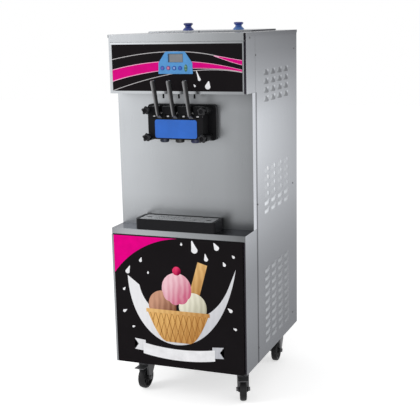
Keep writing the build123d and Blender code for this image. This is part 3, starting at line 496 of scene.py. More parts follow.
# The flat hoods of the solids stand this far out; their parts are pushed in behind the
# sheet's face, where the domes cover them.
hood_from, hood_clearance, hood_flatness = 0.0005, 0.0001, 0.5
middle_flatness = 0.6
# The painted light on the louvres fades towards the rear, and their mouths are painted dark, as shade.
louvre_fade = 0.5
mouth_tone, middle_mouth_tone = 0.3, 0.5
# A strip along the front edge of each side is painted darker, as shade at its fold, most below the head.
fold_shade_width = 0.014
fold_shade_tones = (0.40, 0.96)
dome_steps_along, dome_steps_up = 16, 8


def falloff(distance, soft):
    """1 inside a shape and 0 outside it, over a soft edge."""
    return min(1.0, max(0.0, 0.5 - distance / soft))


def louvre_painted_light(z, way, rise):
    """Painted light and shade of a louvre at a way along it (-1 front, 1 rear) and a rise up it (0 to 1)."""
    if z > upper_louvres_from:
        # Painted shade across a slanted middle, and a painted highlight on the upper rear corner.
        dark_middle = falloff(max(-1.1 + 0.8 * rise - way, way - 0.75 + 0.8 * rise), 0.4)
        rear_corner = falloff(math.hypot((way - 0.70) / 0.34, (rise - 0.72) / 0.36) - 1, 0.7)
        return 1 - 0.50 * dark_middle + 0.75 * rear_corner
    if z < lower_louvres_to:
        # A painted highlight along the top, higher towards the rear.
        along_top = falloff(abs(rise - 0.58 - 0.25 * way) / 0.28 - 1, 0.9)
        return 0.90 + 0.62 * along_top
    # A painted highlight on one round spot behind the middle.
    spot = falloff(math.hypot((way - 0.26) / 0.32, (rise - 0.62) / 0.36) - 1, 0.8)
    return 0.98 + 0.75 * spot


def louvred_color(tree, place):
    """The sheet's painted sheen, with the painted light and shade of its louvres and painted shade on the
    fold at its front edge.
    """
    at = place_parts(tree, place)
    tone = tree.nodes.new("ShaderNodeAttribute")
    tone.attribute_name = "louvre_painted_light"
    # Painted shade on the fold along the front edge.
    in_fold_shade = math_node(tree, "LESS_THAN", at["Y"], cabinet_low.y + fold_shade_width)
    beside_head = math_node(tree, "GREATER_THAN", at["Z"], head_foot)
    fold_tone = range_node(tree, beside_head, 0.0, 1.0, *fold_shade_tones)
    darker = math_node(tree, "MULTIPLY", in_fold_shade, math_node(tree, "SUBTRACT", 1.0, fold_tone))
    sheet = multiply_color(tree, painted_sheen_color(tree, place), math_node(tree, "SUBTRACT", 1.0, darker))
    return multiply_color(tree, sheet, tone.outputs["Fac"])


def vertex_groups(vertices):
    """Vertices in connected groups, as lists."""
    left = set(vertices)
    groups = []
    while left:
        group = [left.pop()]
        for vertex in group:
            for edge in vertex.link_edges:
                other = edge.other_vert(vertex)
                if other in left:
                    left.remove(other)
                    group.append(other)
        groups.append(group)
    return groups


def corners_of(group):
    """The low and high corners of a group of vertices."""
    places = [vertex.co for vertex in group]
    return tuple(Vector([pick(place[i] for place in places) for i in range(3)]) for pick in (min, max))


def add_louvre(mesh, tones, low, high, outward, share_back):
    """A low dome over a louvre's box, with its painted light and shade, and a mouth below painted dark as
    shade.
    """
    middle, half = (low.y + high.y) / 2, (high.y - low.y) / 2
    is_middle = lower_louvres_to <= low.z <= upper_louvres_from
    proud = louvre_proud * (middle_flatness if is_middle else 1.0)
    foot = low.z - louvre_drop
    fade = 0 if low.z > upper_louvres_from else louvre_fade * share_back
    dome = bmesh.ops.create_grid(mesh, x_segments=dome_steps_along, y_segments=dome_steps_up, size=1.0)
    lip = []
    for vertex in dome["verts"]:
        way, rise = vertex.co.x, (vertex.co.y + 1) / 2
        out = proud * math.cos(way * math.pi / 2) * (1 - rise ** 2)
        vertex.co = (outward * (panel_face + out), middle + half * way, foot + (high.z - foot) * rise)
        vertex[tones] = 1 + (louvre_painted_light(low.z, way, rise) - 1) * (1 - fade)
        if rise < 0.5 / dome_steps_up:
            lip.append((way, vertex))
    mouth = [mesh.verts.new(vertex.co) for way, vertex in sorted(lip, key=lambda pair: pair[0])]
    for vertex in mouth:
        vertex[tones] = middle_mouth_tone if is_middle else mouth_tone
    mesh.faces.new(mouth)


louvred_steel = brushed_material("louvred sheet", 0.24, louvred_color)
for side, outward in (("left", -1), ("right", 1)):
    node = f"side_panel_{side}"
    panel = bmesh.new()
    panel.from_mesh(nodes[node].data)
    bmesh.ops.remove_doubles(panel, verts=panel.verts, dist=merge_distance)
    pressed = [vertex for vertex in panel.verts if abs(vertex.co.x) > panel_face + hood_from]
    boxes = []
    for group in vertex_groups(pressed):
        around = {edge.other_vert(vertex) for vertex in group for edge in vertex.link_edges}
        rim = [vertex for vertex in around if abs(vertex.co.x) > panel_face - hood_clearance]
        boxes.append(corners_of(group + rim))
    for vertex in pressed:
        out = abs(vertex.co.x) - panel_face
        vertex.co.x = outward * (panel_face - hood_clearance - (louvre_proud - out) * hood_flatness)
    tones = panel.verts.layers.float.new("louvre_painted_light")
    for vertex in panel.verts:
        vertex[tones] = 1.0
    first_column = min(low.y for low, high in boxes)
    last_column = max(low.y for low, high in boxes)
    for low, high in boxes:
        add_louvre(panel, tones, low, high, outward, (low.y - first_column) / (last_column - first_column))
    bmesh.ops.recalc_face_normals(panel, faces=panel.faces)
    smooth_piece(finish_piece(f"{node}_pressed", panel, louvred_steel, replaced=(node,)), angle=60)

# ------------------------------------------------------------------------------
# Strips in the two seams beside each front cover: a dark strip in the right-hand
# one, painted shade for the shadow in that seam, and bent steel in the left-hand one.
strip_gap, top_gap = 0.0005, 0.0004
strip_depth, steel_inset, shade_strip_inset = 0.002, 0.002, 0.0015
# The right-hand strip's dark colour is painted shade for the seam's shadow.
seam_shade_strip = shader_material("seam shade strip", (0.09, 0.08, 0.10), 0.6, specular=0.1)[0]
inner_face = panel_face - 0.0015
deck_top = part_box("top_deck")[1].z


def add_box(mesh, size, place, after=None):
    """Add a box of a size at a place to a mesh; a matrix may move it afterwards."""
    corners = bmesh.ops.create_cube(mesh, size=1.0)["verts"]
    bmesh.ops.scale(mesh, verts=corners, vec=size)
    bmesh.ops.translate(mesh, verts=corners, vec=place)
    if after is not None:
        bmesh.ops.transform(mesh, verts=corners, matrix=after)


for cover, strip_top in (("head_front_cover", deck_top - top_gap), ("lower_front_cover", front_high.z)):
    cover_low, cover_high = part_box(cover)
    strip_size = (inner_face - cover_high.x - strip_gap, strip_depth, strip_top - cover_low.z)
    strip_x, strip_z = (inner_face + cover_high.x) / 2, (cover_low.z + strip_top) / 2
    for side, x, y, material, slot in (
            ("left", -strip_x, cover_low.y + steel_inset, stainless, "stainless"),
            ("right", strip_x, cover_high.y - shade_strip_inset, seam_shade_strip, "black_plastic")):
        strip = bmesh.new()
        add_box(strip, strip_size, (x, y, strip_z))
        finish_piece(f"{cover}_strip_{side}", strip, material)

# ------------------------------------------------------------------------------
# Inside the panels: a zinc-plated floor pan and mid shelf, hoppers, cylinders and
# beaters of drawn steel, cast motors and an enamelled refrigeration set, bolted in.
# They show only through the rear slots, under the lids and from below.
mottled, mottled_in, mottled_out = new_group(
    "mottled surface",
    [("Scale", "NodeSocketFloat", 60.0), ("Base", "NodeSocketFloat", 0.4),
     ("Spread", "NodeSocketFloat", 0.2)],
    [("Roughness", "NodeSocketFloat"), ("Value", "NodeSocketFloat"), ("Tint", "NodeSocketFloat")],
)
mottled_noise = mottled.nodes.new("ShaderNodeTexNoise")
mottled_noise.inputs["Detail"].default_value = 4.0
wire(mottled, object_place(mottled), mottled_noise.inputs["Vector"])
wire(mottled, mottled_in.outputs["Scale"], mottled_noise.inputs["Scale"])
mottled_off = math_node(mottled, "SUBTRACT", mottled_noise.outputs["Fac"], 0.5)
mottled_part = math_node(mottled, "MULTIPLY", mottled_off, mottled_in.outputs["Spread"])
mottled_roughness = math_node(mottled, "ADD", mottled_part, mottled_in.outputs["Base"])
wire(mottled, mottled_roughness, mottled_out.inputs["Roughness"])
wire(mottled, mottled_noise.outputs["Fac"], mottled_out.inputs["Value"])
wire(mottled, range_node(mottled, mottled_off, -0.3, 0.3, 0.9, 1.1), mottled_out.inputs["Tint"])


def mottle(tree, shader, color, scale, base, spread):
    """Wire a colour and a gloss that vary a little to a shader; returns their group."""
    group = place_group(tree, mottled, Scale=scale, Base=base, Spread=spread)
    wire(tree, multiply_color(tree, color, group.outputs["Tint"]), shader.inputs["Base Color"])
    wire(tree, group.outputs["Roughness"], shader.inputs["Roughness"])
    return group


def mottled_material(name, color, base, spread, scale, metallic=0.0, specular=0.5, bump=0.0):
    """A material whose tone and gloss vary a little over the surface."""
    material, tree, shader = shader_material(name, color, base, metallic, specular)
    tint = tree.nodes.new("ShaderNodeRGB")
    tint.outputs[0].default_value = (*color, 1)
    group = mottle(tree, shader, tint.outputs[0], scale, base, spread)
    if bump:
        bump_node(tree, shader, math_node(tree, "MULTIPLY", group.outputs["Value"], bump))
    return material


def side_lit_material(name, left_color, right_color, ways, roughness, specular):
    """Plastic with painted light: one tone where it faces left and another where it faces right."""
    material, tree, shader = shader_material(name, left_color, roughness, specular=specular)
    rightward = range_node(tree, normal_parts(tree, "Normal")["X"], *ways)
    mottle(tree, shader, mix_colors(tree, rightward, left_color, right_color), 80.0, roughness, 0.12)
    return material


zinc_plate = mottled_material("zinc plate", (0.14, 0.142, 0.147), 0.42, 0.25, 45.0, metallic=0.7)
bright_tube = mottled_material("drawn steel", (0.5, 0.5, 0.5), 0.3, 0.15, 30.0, metallic=0.9)
motor_paint = mottled_material("motor casting", (0.30, 0.31, 0.33), 0.55, 0.2, 220.0, metallic=0.3,
                               bump=0.0003)
shell_paint = mottled_material("compressor enamel", (0.02, 0.02, 0.022), 0.3, 0.15, 30.0)
coat(zinc_plate, "base_pan", "mid_shelf")
coat(bright_tube, "freezing_cylinders", "hopper_left", "hopper_right", "beater_left", "beater_right")
coat(motor_paint, "gear_motors")
coat(shell_paint, "condensing_unit")

# ------------------------------------------------------------------------------
# Screws of the side and rear panels: domed steel heads, with the cross of their
# drive standing a hair out of the crown.
screw_steel = mottled_material("screw steel", (0.16, 0.16, 0.17), 0.3, 0.1, 300.0, metallic=0.9)
screw_profile = [
    # share of the radius, share of the height
    (0, 1.0), (0.45, 0.97), (0.8, 0.7), (1.0, 0.25), (1.0, 0), (0, 0),
]
cross_width, cross_height, cross_middle = 0.2, 0.1, 0.96


def islands(node):
    """The low and high corners of each separate solid in a CAD node."""
    mesh = bmesh.new()
    mesh.from_mesh(nodes[node].data)
    bmesh.ops.remove_doubles(mesh, verts=mesh.verts, dist=merge_distance)
    found = [corners_of(group) for group in vertex_groups(mesh.verts)]
    mesh.free()
    return found


def turned(mesh, profile, segments=32):
    """Spin a profile of (radius, height) pairs about Z; ends on the axis are closed."""
    ring = [mesh.verts.new((radius, 0, height)) for radius, height in profile]
    edges = [mesh.edges.new(pair) for pair in zip(ring, ring[1:])]
    bmesh.ops.spin(mesh, geom=ring + edges, cent=(0, 0, 0), axis=(0, 0, 1), angle=math.tau,
                   steps=segments, use_merge=True)
    bmesh.ops.remove_doubles(mesh, verts=mesh.verts, dist=merge_distance)
    bmesh.ops.recalc_face_normals(mesh, faces=mesh.faces)


def aim_from_z(direction, place):
    """Takes +Z to a direction and the origin to a place."""
    return Matrix.Translation(place) @ Vector(direction).to_track_quat("Z", "Y").to_matrix().to_4x4()


def turns_about_z(count):
    """Matrices that turn a piece about Z in equal steps."""
    return [Matrix.Rotation(math.tau * step / count, 4, "Z") for step in range(count)]


def add_copies(target, source, transforms):
    """Add copies of one bmesh to another at several places."""
    data = bpy.data.meshes.new("copy")
    for transform in transforms:
        source.to_mesh(data)
        data.transform(transform)
        target.from_mesh(data)
    bpy.data.meshes.remove(data)


def screw_head(radius, height):
    """A domed head with the cross of its drive on the crown."""
    head = bmesh.new()
    turned(head, [(radius * out, height * up) for out, up in screw_profile], segments=16)
    for turn in (0, 90):
        add_box(head, (radius, radius * cross_width, height * cross_height),
                (0, 0, height * cross_middle), Matrix.Rotation(math.radians(turn), 4, "Z"))
    return head


screws = bmesh.new()
for low, high in islands("panel_screws"):
    size = high - low
    middle = (low + high) / 2
    if size.x < size.y:
        outward = Vector((math.copysign(1, middle.x), 0, 0))
    else:
        outward = Vector((0, 1, 0))
    seat = middle - outward * min(size) / 2
    head = screw_head(max(size) / 2, min(size))
    add_copies(screws, head, [aim_from_z(outward, seat)])
    head.free()
smooth_piece(finish_piece("screw_heads", screws, screw_steel, replaced=("panel_screws",)))

# ------------------------------------------------------------------------------
# Head graphic panel: thin black sheet, glued to the head cover and printed with
# arched stripes that run behind the control overlay.
print_black = (0.0095, 0.0080, 0.0090)
stripe_magenta = (0.67, 0.003, 0.212)
stripe_edge = (0.86, 0.42, 0.60)
stripe_grey = (0.50, 0.48, 0.49)
print_step = 0.00012

# Widths of the stripes' lines, edges and margin, in millimetres.
line_width = 2.6
sliver_edge = 1.68
sliver_start = 8
band_edge, band_taper = 2.8, 0.6
panel_margin = 0.5

black_print = mottled_material("black print", print_black, 0.42, 0.08, 12.0, specular=0.02)
coat(black_print, "head_graphic_panel")


def ink(name, color):
    """Printing ink: flat in tone, with a faint mottle in its gloss."""
    return mottled_material(name, color, 0.45, 0.03, 40.0, specular=0.03)


magenta_ink = ink("magenta ink", stripe_magenta)
edge_ink = ink("pale pink ink", stripe_edge)
grey_ink = ink("grey ink", stripe_grey)
white_ink = ink("white ink", (0.88, 0.88, 0.9))


def bend(start, first, second, end, steps=40):
    """Points along one smooth bend, given by its ends and two handles, as (x, z)."""
    points = interpolate_bezier(*[Vector((p[0], p[1], 0)) for p in (start, first, second, end)], steps)
    return [(point.x, point.y) for point in points]


def moved(line, up):
    return [(x, z + up) for x, z in line]


def thicken(mesh, way):
    """Extrude a flat mesh by a vector, with its faces outwards."""
    grown = bmesh.ops.extrude_face_region(mesh, geom=mesh.faces[:])["geom"]
    bmesh.ops.translate(mesh, verts=[v for v in grown if isinstance(v, bmesh.types.BMVert)], vec=way)
    bmesh.ops.recalc_face_normals(mesh, faces=mesh.faces)


def printed(name, outline, front, layer, material):
    """A printed shape: a closed outline in millimetres, a film's thickness proud of its sheet."""
    shape = bmesh.new()
    face = shape.faces.new([shape.verts.new((x / 1000, front, z / 1000)) for x, z in outline])
    bmesh.ops.triangulate(shape, faces=[face])
    thicken(shape, (0, -print_step * layer, 0))
    return finish_piece(name, shape, material)


panel_front = panel_low.y
panel_half = panel_high.x * 1000 - panel_margin
upper_line = bend((-panel_half, 1317.5), (-80, 1354.5), (118, 1361), (panel_half, 1297.5))
sliver_top = bend((150, 1331), (180, 1327.5), (212, 1320), (panel_half, 1314))
sliver_low = bend((150, 1327.5), (180, 1318.5), (210, 1306), (panel_half, 1296))
band_top = bend((-panel_half, 1281), (-84, 1322.5), (84, 1322.5), (panel_half, 1280))
band_low = bend((-panel_half, 1236.5), (-110, 1281), (100, 1299), (panel_half, 1272.5))
lower_line = bend((-panel_half, 1203.5), (-110, 1252), (90, 1302), (panel_half, 1270.5))

for name, line in (("stripe_upper_line", upper_line), ("stripe_lower_line", lower_line)):
    outline = moved(line, line_width / 2) + moved(line, -line_width / 2)[::-1]
    printed(name, outline, panel_front, 1, grey_ink)
printed("stripe_sliver_edge", sliver_top + sliver_low[::-1], panel_front, 2, edge_ink)
sliver = moved(sliver_top, -sliver_edge)[sliver_start:] + moved(sliver_low, sliver_edge)[sliver_start:][::-1]
printed("stripe_sliver", sliver, panel_front, 3, magenta_ink)
printed("stripe_band_edge", band_top + band_low[::-1], panel_front, 2, edge_ink)
band = []
for line, way in ((band_top, -1), (band_low, 1)):
    margins = [band_edge * (1 - band_taper * step / len(line)) for step in range(len(line))]
    band += [(x, z + way * margin) for (x, z), margin in zip(line, margins)][::-way]
printed("stripe_band", band, panel_front, 3, magenta_ink)


drop_narrowing = 0.35


def drop_outline(x, z, radius, tail, lean, steps=24):
    """A falling drop: a round bottom drawn out to a point, as (x, z)."""
    outline = []
    for step in range(steps):
        turn = math.tau * step / steps
        stretch = max(0.0, math.cos(turn)) ** 3 * tail
        along = radius * math.cos(turn) + stretch
        side = radius * math.sin(turn) * (1 - drop_narrowing * max(0.0, math.cos(turn)))
        outline.append((x + side * math.cos(lean) - along * math.sin(lean),
                        z + side * math.sin(lean) + along * math.cos(lean)))
    return outline


head_drops = [
    # x, z, radius, tail, lean in degrees
    (92, 1246, 5.5, 30, 20),
    (124, 1221, 10.5, 9, -12),
    (74, 1222, 3.6, 4, 30),
]
for index, (x, z, radius, tail, lean) in enumerate(head_drops, start=1):
    outline = drop_outline(x, z, radius, tail, math.radians(lean))
    printed(f"head_drop_{index}", outline, panel_front, 2, white_ink)

# ------------------------------------------------------------------------------
# Control overlay: a blue plastic membrane glued over the stripes. It has a display
# window in a shallow recess with painted shade, an oval light, and four round push keys
# with rings printed around them.
overlay_color = (0.080, 0.285, 0.60)
display_color = (0.20, 0.21, 0.225)
light_color = (0.035, 0.14, 0.085)
light_dot_color = (0.11, 0.27, 0.16)
key_finishes = [
    # slot, collar, cap, ring printed around it
    ("key_violet", (0.05, 0.14, 0.50), (0.14, 0.11, 0.42), (0.035, 0.12, 0.42)),
    ("key_red", (0.30, 0.12, 0.28), (0.58, 0.18, 0.27), (0.13, 0.08, 0.32)),
    ("key_grey", (0.04, 0.13, 0.46), (0.27, 0.38, 0.66), (0.03, 0.10, 0.38)),
    ("key_blue", (0.04, 0.13, 0.50), (0.06, 0.12, 0.48), (0.03, 0.11, 0.42)),
]

overlay_film = mottled_material("blue membrane", overlay_color, 0.38, 0.08, 60.0, specular=0.3)
display_glass = mottled_material("display window", display_color, 0.2, 0.05, 20.0, specular=0.5)
light_lens = mottled_material("light lens", light_color, 0.25, 0.05, 60.0)
light_dot = mottled_material("light dot", light_dot_color, 0.3, 0.05, 60.0)
recess_shade_frame = mottled_material("display recess shade", (0.035, 0.075, 0.14), 0.35, 0.05, 60.0, specular=0.2)

rounded_piece("control_membrane", "control_overlay", 0.0005, overlay_film)
overlay_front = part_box("control_overlay")[0].y

lens_parts = sorted(islands("display_lenses"), key=lambda corners: corners[0].x)
display_low, display_high = lens_parts[0]
oval_low, oval_high = lens_parts[1]


def plate_between(low, high, corner):
    """An upright plate with rounded corners."""
    plate = bmesh.new()
    add_box(plate, high - low, (low + high) / 2)
    upright = [edge for edge in plate.edges if edge.verts[0].co.y != edge.verts[1].co.y]
    round_edges(plate, upright, corner, 5)
    return plate


window = plate_between(display_low, display_high, 0.0015)
smooth_piece(finish_piece("display_window", window, display_glass, replaced=("display_lenses",)))

# The window lies in a shallow recess, with its shadow painted as a dark frame, widest at the left and top.
recess_depth = 0.0004
recess_shade_bars = {"left": 0.0052, "right": 0.0005, "top": 0.0014, "bottom": 0.0005}
recess_left, recess_right = display_low.x + recess_shade_bars["left"], display_high.x - recess_shade_bars["right"]
recess_low, recess_high = display_low.z + recess_shade_bars["bottom"], display_high.z - recess_shade_bars["top"]
surround = bmesh.new()
rings = []
for left, right, low, high in ((display_low.x, display_high.x, display_low.z, display_high.z),
                               (recess_left, recess_right, recess_low, recess_high)):
    corners = ((left, low), (right, low), (right, high), (left, high))
    rings.append([surround.verts.new((x, overlay_front - recess_depth, z)) for x, z in corners])
for i in range(4):
    following = (i + 1) % 4
    surround.faces.new([rings[0][i], rings[0][following], rings[1][following], rings[1][i]])
thicken(surround, (0, recess_depth * 2, 0))
finish_piece("display_surround", surround, recess_shade_frame)


lens_rise = 0.0009


def oval_button(name, low, high, front, material):
    """A domed oval lens that stands a little out of the overlay."""
    lens = bmesh.new()
    turned(lens, [(0, 1.0), (0.55, 0.92), (0.85, 0.62), (1.0, 0.0), (1.0, -1.0), (0, -1.0)], segments=32)
    middle = (low + high) / 2
    place = Vector((middle.x, front, middle.z))
    bmesh.ops.scale(lens, verts=lens.verts, vec=((high.x - low.x) / 2, (high.z - low.z) / 2, lens_rise))
    bmesh.ops.transform(lens, verts=lens.verts, matrix=aim_from_z((0, -1, 0), place))
    return smooth_piece(finish_piece(name, lens, material), angle=60)


oval_button("cooling_light", oval_low, oval_high, overlay_front, light_lens)
oval_middle = (oval_low + oval_high) / 2
dot_half, dot_rise, dot_proud = Vector((0.0036, 0, 0.0036)), 0.0052, 0.0006
for index, rise in enumerate((-dot_rise, dot_rise), start=1):
    dot_middle = oval_middle + Vector((0, 0, rise))
    oval_button(f"cooling_light_dot_{index}", dot_middle - dot_half, dot_middle + dot_half,
                overlay_front - dot_proud, light_dot)

key_radius, key_step, key_cap_share = 0.0063, 0.0005, 0.66
cap_radius = key_radius * key_cap_share
key_face = [
    # share of the radius, share of the step: a dished cap, a groove and a collar
    (0, 0), (0.4, 0.4), (key_cap_share, 1.0), (key_cap_share + 0.06, 0), (0.94, 0), (1.0, 1.0),
]
key_ring_from, key_ring_to = 0.0067, 0.0082
for index, (key_slot, collar_color, cap_color, ring_color) in enumerate(key_finishes, start=1):
    node = f"control_key_{index}"
    low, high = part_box(node)
    middle = (low + high) / 2
    depth = high.y - low.y
    collar = mottled_material(f"key {index} collar", collar_color, 0.35, 0.06, 80.0, specular=0.3)
    cap = mottled_material(f"key {index} cap", cap_color, 0.3, 0.06, 80.0, specular=0.3)
    button = bmesh.new()
    button_profile = [(key_radius * out, key_step * down) for out, down in key_face]
    turned(button, button_profile + [(key_radius, depth), (0, depth)], segments=40)
    aim = Matrix.Translation((middle.x, low.y, middle.z)) @ Matrix.Rotation(-math.pi / 2, 4, "X")
    bmesh.ops.transform(button, verts=button.verts, matrix=aim)
    key_piece = finish_piece(f"push_key_{index}", button, collar, body=node, replaced=(node,))
    key_piece.data.materials.append(cap)
    for face in key_piece.data.polygons:
        off_axis = math.hypot(face.center.x - middle.x, face.center.z - middle.z)
        if off_axis < cap_radius and face.center.y < overlay_front:
            face.material_index = 1
    smooth_piece(key_piece, angle=50)
    key_ring = bmesh.new()
    turned(key_ring, [(key_ring_from, 0), (key_ring_to, 0), (key_ring_to, print_step),
                      (key_ring_from, print_step), (key_ring_from, 0)], segments=40)
    ring_place = Vector((middle.x, overlay_front, middle.z))
    bmesh.ops.transform(key_ring, verts=key_ring.verts, matrix=aim_from_z((0, -1, 0), ring_place))
    finish_piece(f"key_ring_{index}", key_ring, ink(f"key {index} ring ink", ring_color))

# ------------------------------------------------------------------------------
# Dispensing block: a black moulding with softened edges, which four hand nuts hold
# to the plate of the cylinders. A bare blue plate is glued to its front.
plate_color = (0.025, 0.135, 0.55)
# Faces that look right are painted lighter than the front, as light on them.
side_lit_moulding = side_lit_material("black moulding", (0.0055, 0.0055, 0.0065), (0.013, 0.013, 0.014), (0.3, 0.8),
                                0.4, 0.10)
plate_acrylic = mottled_material("blue acrylic", plate_color, 0.25, 0.04, 20.0, specular=0.3)
rounded_piece("block_moulding", "dispensing_block", 0.0016, side_lit_moulding)
plate_low, plate_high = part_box("block_plate")
plate_corner = 0.0085
smooth_piece(finish_piece("blue_plate", plate_between(plate_low, plate_high, plate_corner), plate_acrylic,
                          replaced=("block_plate",)))

# ------------------------------------------------------------------------------
# Draw handles: black moulded levers that turn on a steel pin, with round grips that
# swell towards a dished tip. They lift white plastic pistons in the block.
# Sides that look left are painted light, as a highlight, and sides that look right dark, as shade.
side_lit_handle_plastic = side_lit_material("handle plastic", (0.24, 0.24, 0.245), (0.011, 0.011, 0.012), (-0.30, 0.35),
                                0.3, 0.2)
piston_plastic = mottled_material("piston plastic", (0.78, 0.78, 0.75), 0.35, 0.1, 40.0)
grip_lean, grip_length, grip_depth = math.radians(17.2), 0.129, 0.018
lever_low, lever_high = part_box("draw_handle_center")
grip_along = Vector((0, -math.sin(grip_lean), math.cos(grip_lean)))
grip_tip = Vector((0, lever_low.y + grip_depth / 2 * math.cos(grip_lean),
                   lever_high.z - grip_depth / 2 * math.sin(grip_lean)))
grip_foot = grip_tip - grip_along * grip_length
grip_halves = ((0.0066, 0.0072), (0.0096, 0.0086))
grip_overlap = 0.006
# The plain lever runs on inside the grip as a thinner core that ends short of its tip.
grip_core, core_overlap, core_short = 0.45, 0.002, 0.008
moulded_radius = 0.0022
grip_rounds, grip_sides = 12, 24
grip_squareness = 2.1
tip_round, tip_flat = 0.6, 0.45
dish_depth, dish_size = 0.0022, 0.36


def oval_ring(mesh, centre, half_x, half_depth):
    """A ring around a point of a grip, square to its length; returns its vertices."""
    depth_way = Vector((1, 0, 0)).cross(grip_along)
    ring = bmesh.ops.create_circle(mesh, segments=grip_sides, radius=1.0)["verts"]
    for vertex in ring:
        x, y = [math.copysign(abs(part) ** (2 / grip_squareness), part) for part in vertex.co.xy]
        vertex.co = centre + Vector((x * half_x, 0, 0)) + depth_way * (y * half_depth)
    return ring


def add_grip(mesh, x):
    """A tapered round grip with a rolled and slightly dished tip."""
    foot, tip = grip_foot + Vector((x, 0, 0)), grip_tip + Vector((x, 0, 0))
    shapes = [(foot - grip_along * grip_overlap, 0.85)]
    shapes += [(foot.lerp(tip, share), 1.0) for share in (0, 0.25, 0.5, 0.75)]
    roll = grip_halves[1][0] * tip_round
    for step in range(grip_rounds + 1):
        turn = math.pi / 2 * step / grip_rounds
        centre = tip - grip_along * roll * (1 - math.sin(turn))
        shapes.append((centre, tip_flat + (1 - tip_flat) * math.cos(turn)))
    shapes.append((tip - grip_along * dish_depth, dish_size))
    rings = []
    for centre, size in shapes:
        share = min(1.0, max(0.0, (centre - foot).dot(grip_along) / grip_length))
        half_x, half_depth = [a + (b - a) * share for a, b in zip(*grip_halves)]
        rings.append(oval_ring(mesh, centre, half_x * size, half_depth * size))
    hoops = [[edge for edge in mesh.edges if edge.verts[0] in ring and edge.verts[1] in ring]
             for ring in (set(ring) for ring in rings)]
    for lower, upper in zip(hoops, hoops[1:]):
        bmesh.ops.bridge_loops(mesh, edges=lower + upper)
    bmesh.ops.contextual_create(mesh, geom=hoops[0])
    bmesh.ops.contextual_create(mesh, geom=hoops[-1])


for side in ("left", "center", "right"):
    node = f"draw_handle_{side}"
    low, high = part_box(node)
    middle_x = (low.x + high.x) / 2
    lever = rounded_copy(node, moulded_radius, segments=3)
    axis_start = grip_foot + Vector((middle_x, 0, 0))
    for vertex in lever.verts:
        reach = (vertex.co - axis_start).dot(grip_along)
        if reach > -core_overlap:
            on_axis = axis_start + grip_along * min(reach, grip_length - core_short)
            vertex.co = on_axis + (vertex.co - axis_start - grip_along * reach) * grip_core
    add_grip(lever, middle_x)
    bmesh.ops.recalc_face_normals(lever, faces=lever.faces)
    smooth_piece(finish_piece(f"lever_{side}", lever, side_lit_handle_plastic, body=node, replaced=(node,)), angle=45)
    coat(piston_plastic, f"valve_piston_{side}")

# The steel pin shows in the windows between the levers, where black spacers hold
# the levers apart.
pin_steel = mottled_material("pin steel", (0.42, 0.42, 0.43), 0.3, 0.1, 300.0, metallic=0.9)
coat(pin_steel, "handle_pin")
pin_low, pin_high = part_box("handle_pin")
pin_radius = (pin_high.z - pin_low.z) / 2
spacer_from, spacer_to, spacer_wall, spacer_gap = 0.0045, 0.012, 0.0008, 0.0001
lever_middles = [sum(corner.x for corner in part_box(f"draw_handle_{side}")) / 2
                 for side in ("left", "center", "right")]
spacers = bmesh.new()
spacer = bmesh.new()
spacer_bore, spacer_radius = pin_radius + spacer_gap, pin_radius + spacer_wall
turned(spacer, [(spacer_bore, spacer_from), (spacer_radius, spacer_from), (spacer_radius, spacer_to),
                (spacer_bore, spacer_to), (spacer_bore, spacer_from)], segments=24)
for first, second in zip(lever_middles, lever_middles[1:]):
    window = Vector(((first + second) / 2, (pin_low.y + pin_high.y) / 2, (pin_low.z + pin_high.z) / 2))
    add_copies(spacers, spacer, [aim_from_z((1, 0, 0), window), aim_from_z((-1, 0, 0), window)])
spacer.free()
# The spacers share the block's moulding, with its painted light on faces that look right.
smooth_piece(finish_piece("pin_spacers", spacers, side_lit_moulding))

# ------------------------------------------------------------------------------
# Star knobs: black moulded hand nuts with five lobes on a narrower neck and a
# dished hub, painted darker as shade in its hollow. They turn on studs and hold the dispensing block to the
# machine.
# The lobes are painted lighter than the block, as lit; the hub's dark colour is painted shade.
lit_knob_plastic = mottled_material("knob plastic", (0.024, 0.024, 0.026), 0.4, 0.1, 80.0, specular=0.15)
knob_hub_shade = mottled_material("knob hub shade", (0.004, 0.004, 0.005), 0.5, 0.1, 80.0, specular=0.1)
knob_lobe_count = 5
knob_profile = [
    # share of the reach, share of the depth
    (0, 0), (0.42, 0), (0.42, 0.48), (0.80, 0.52), (0.96, 0.58), (1.0, 0.66), (1.0, 0.86), (0.95, 0.95),
    (0.84, 1.0), (0.56, 1.0), (0.48, 0.97), (0.44, 0.90), (0, 0.88),
]
knob_swell = 1.02
knob_waviness = 0.15
hub_share, lobe_share, cap_share = 0.48, 0.64, 0.47
for corner in ("upper_left", "upper_right", "lower_left", "lower_right"):
    node = f"star_knob_{corner}"
    low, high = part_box(node)
    middle = (low + high) / 2
    depth = high.y - low.y
    reach = (high.x - low.x) / 2
    lobes = bmesh.new()
    turned(lobes, [(reach * out, depth * up) for out, up in knob_profile], segments=60)
    for vertex in lobes.verts:
        turn = math.atan2(vertex.co.y, vertex.co.x)
        out = vertex.co.xy.length / reach
        waved = min(1.0, max(0.0, (out - hub_share) / (lobe_share - hub_share)))
        wave = knob_waviness * waved * (math.cos(knob_lobe_count * (turn - math.pi / 2)) - 1)
        vertex.co.xy *= knob_swell + wave
    place = Vector((middle.x, high.y, middle.z))
    bmesh.ops.transform(lobes, verts=lobes.verts, matrix=aim_from_z((0, -1, 0), place))
    nut = finish_piece(f"hand_nut_{corner}", lobes, lit_knob_plastic, body=node, replaced=(node,))
    nut.data.materials.append(knob_hub_shade)
    for face in nut.data.polygons:
        off_axis = math.hypot(face.center.x - middle.x, face.center.z - middle.z)
        if off_axis < reach * cap_share and face.center.y < middle.y:
            face.material_index = 1
    smooth_piece(nut, angle=50)

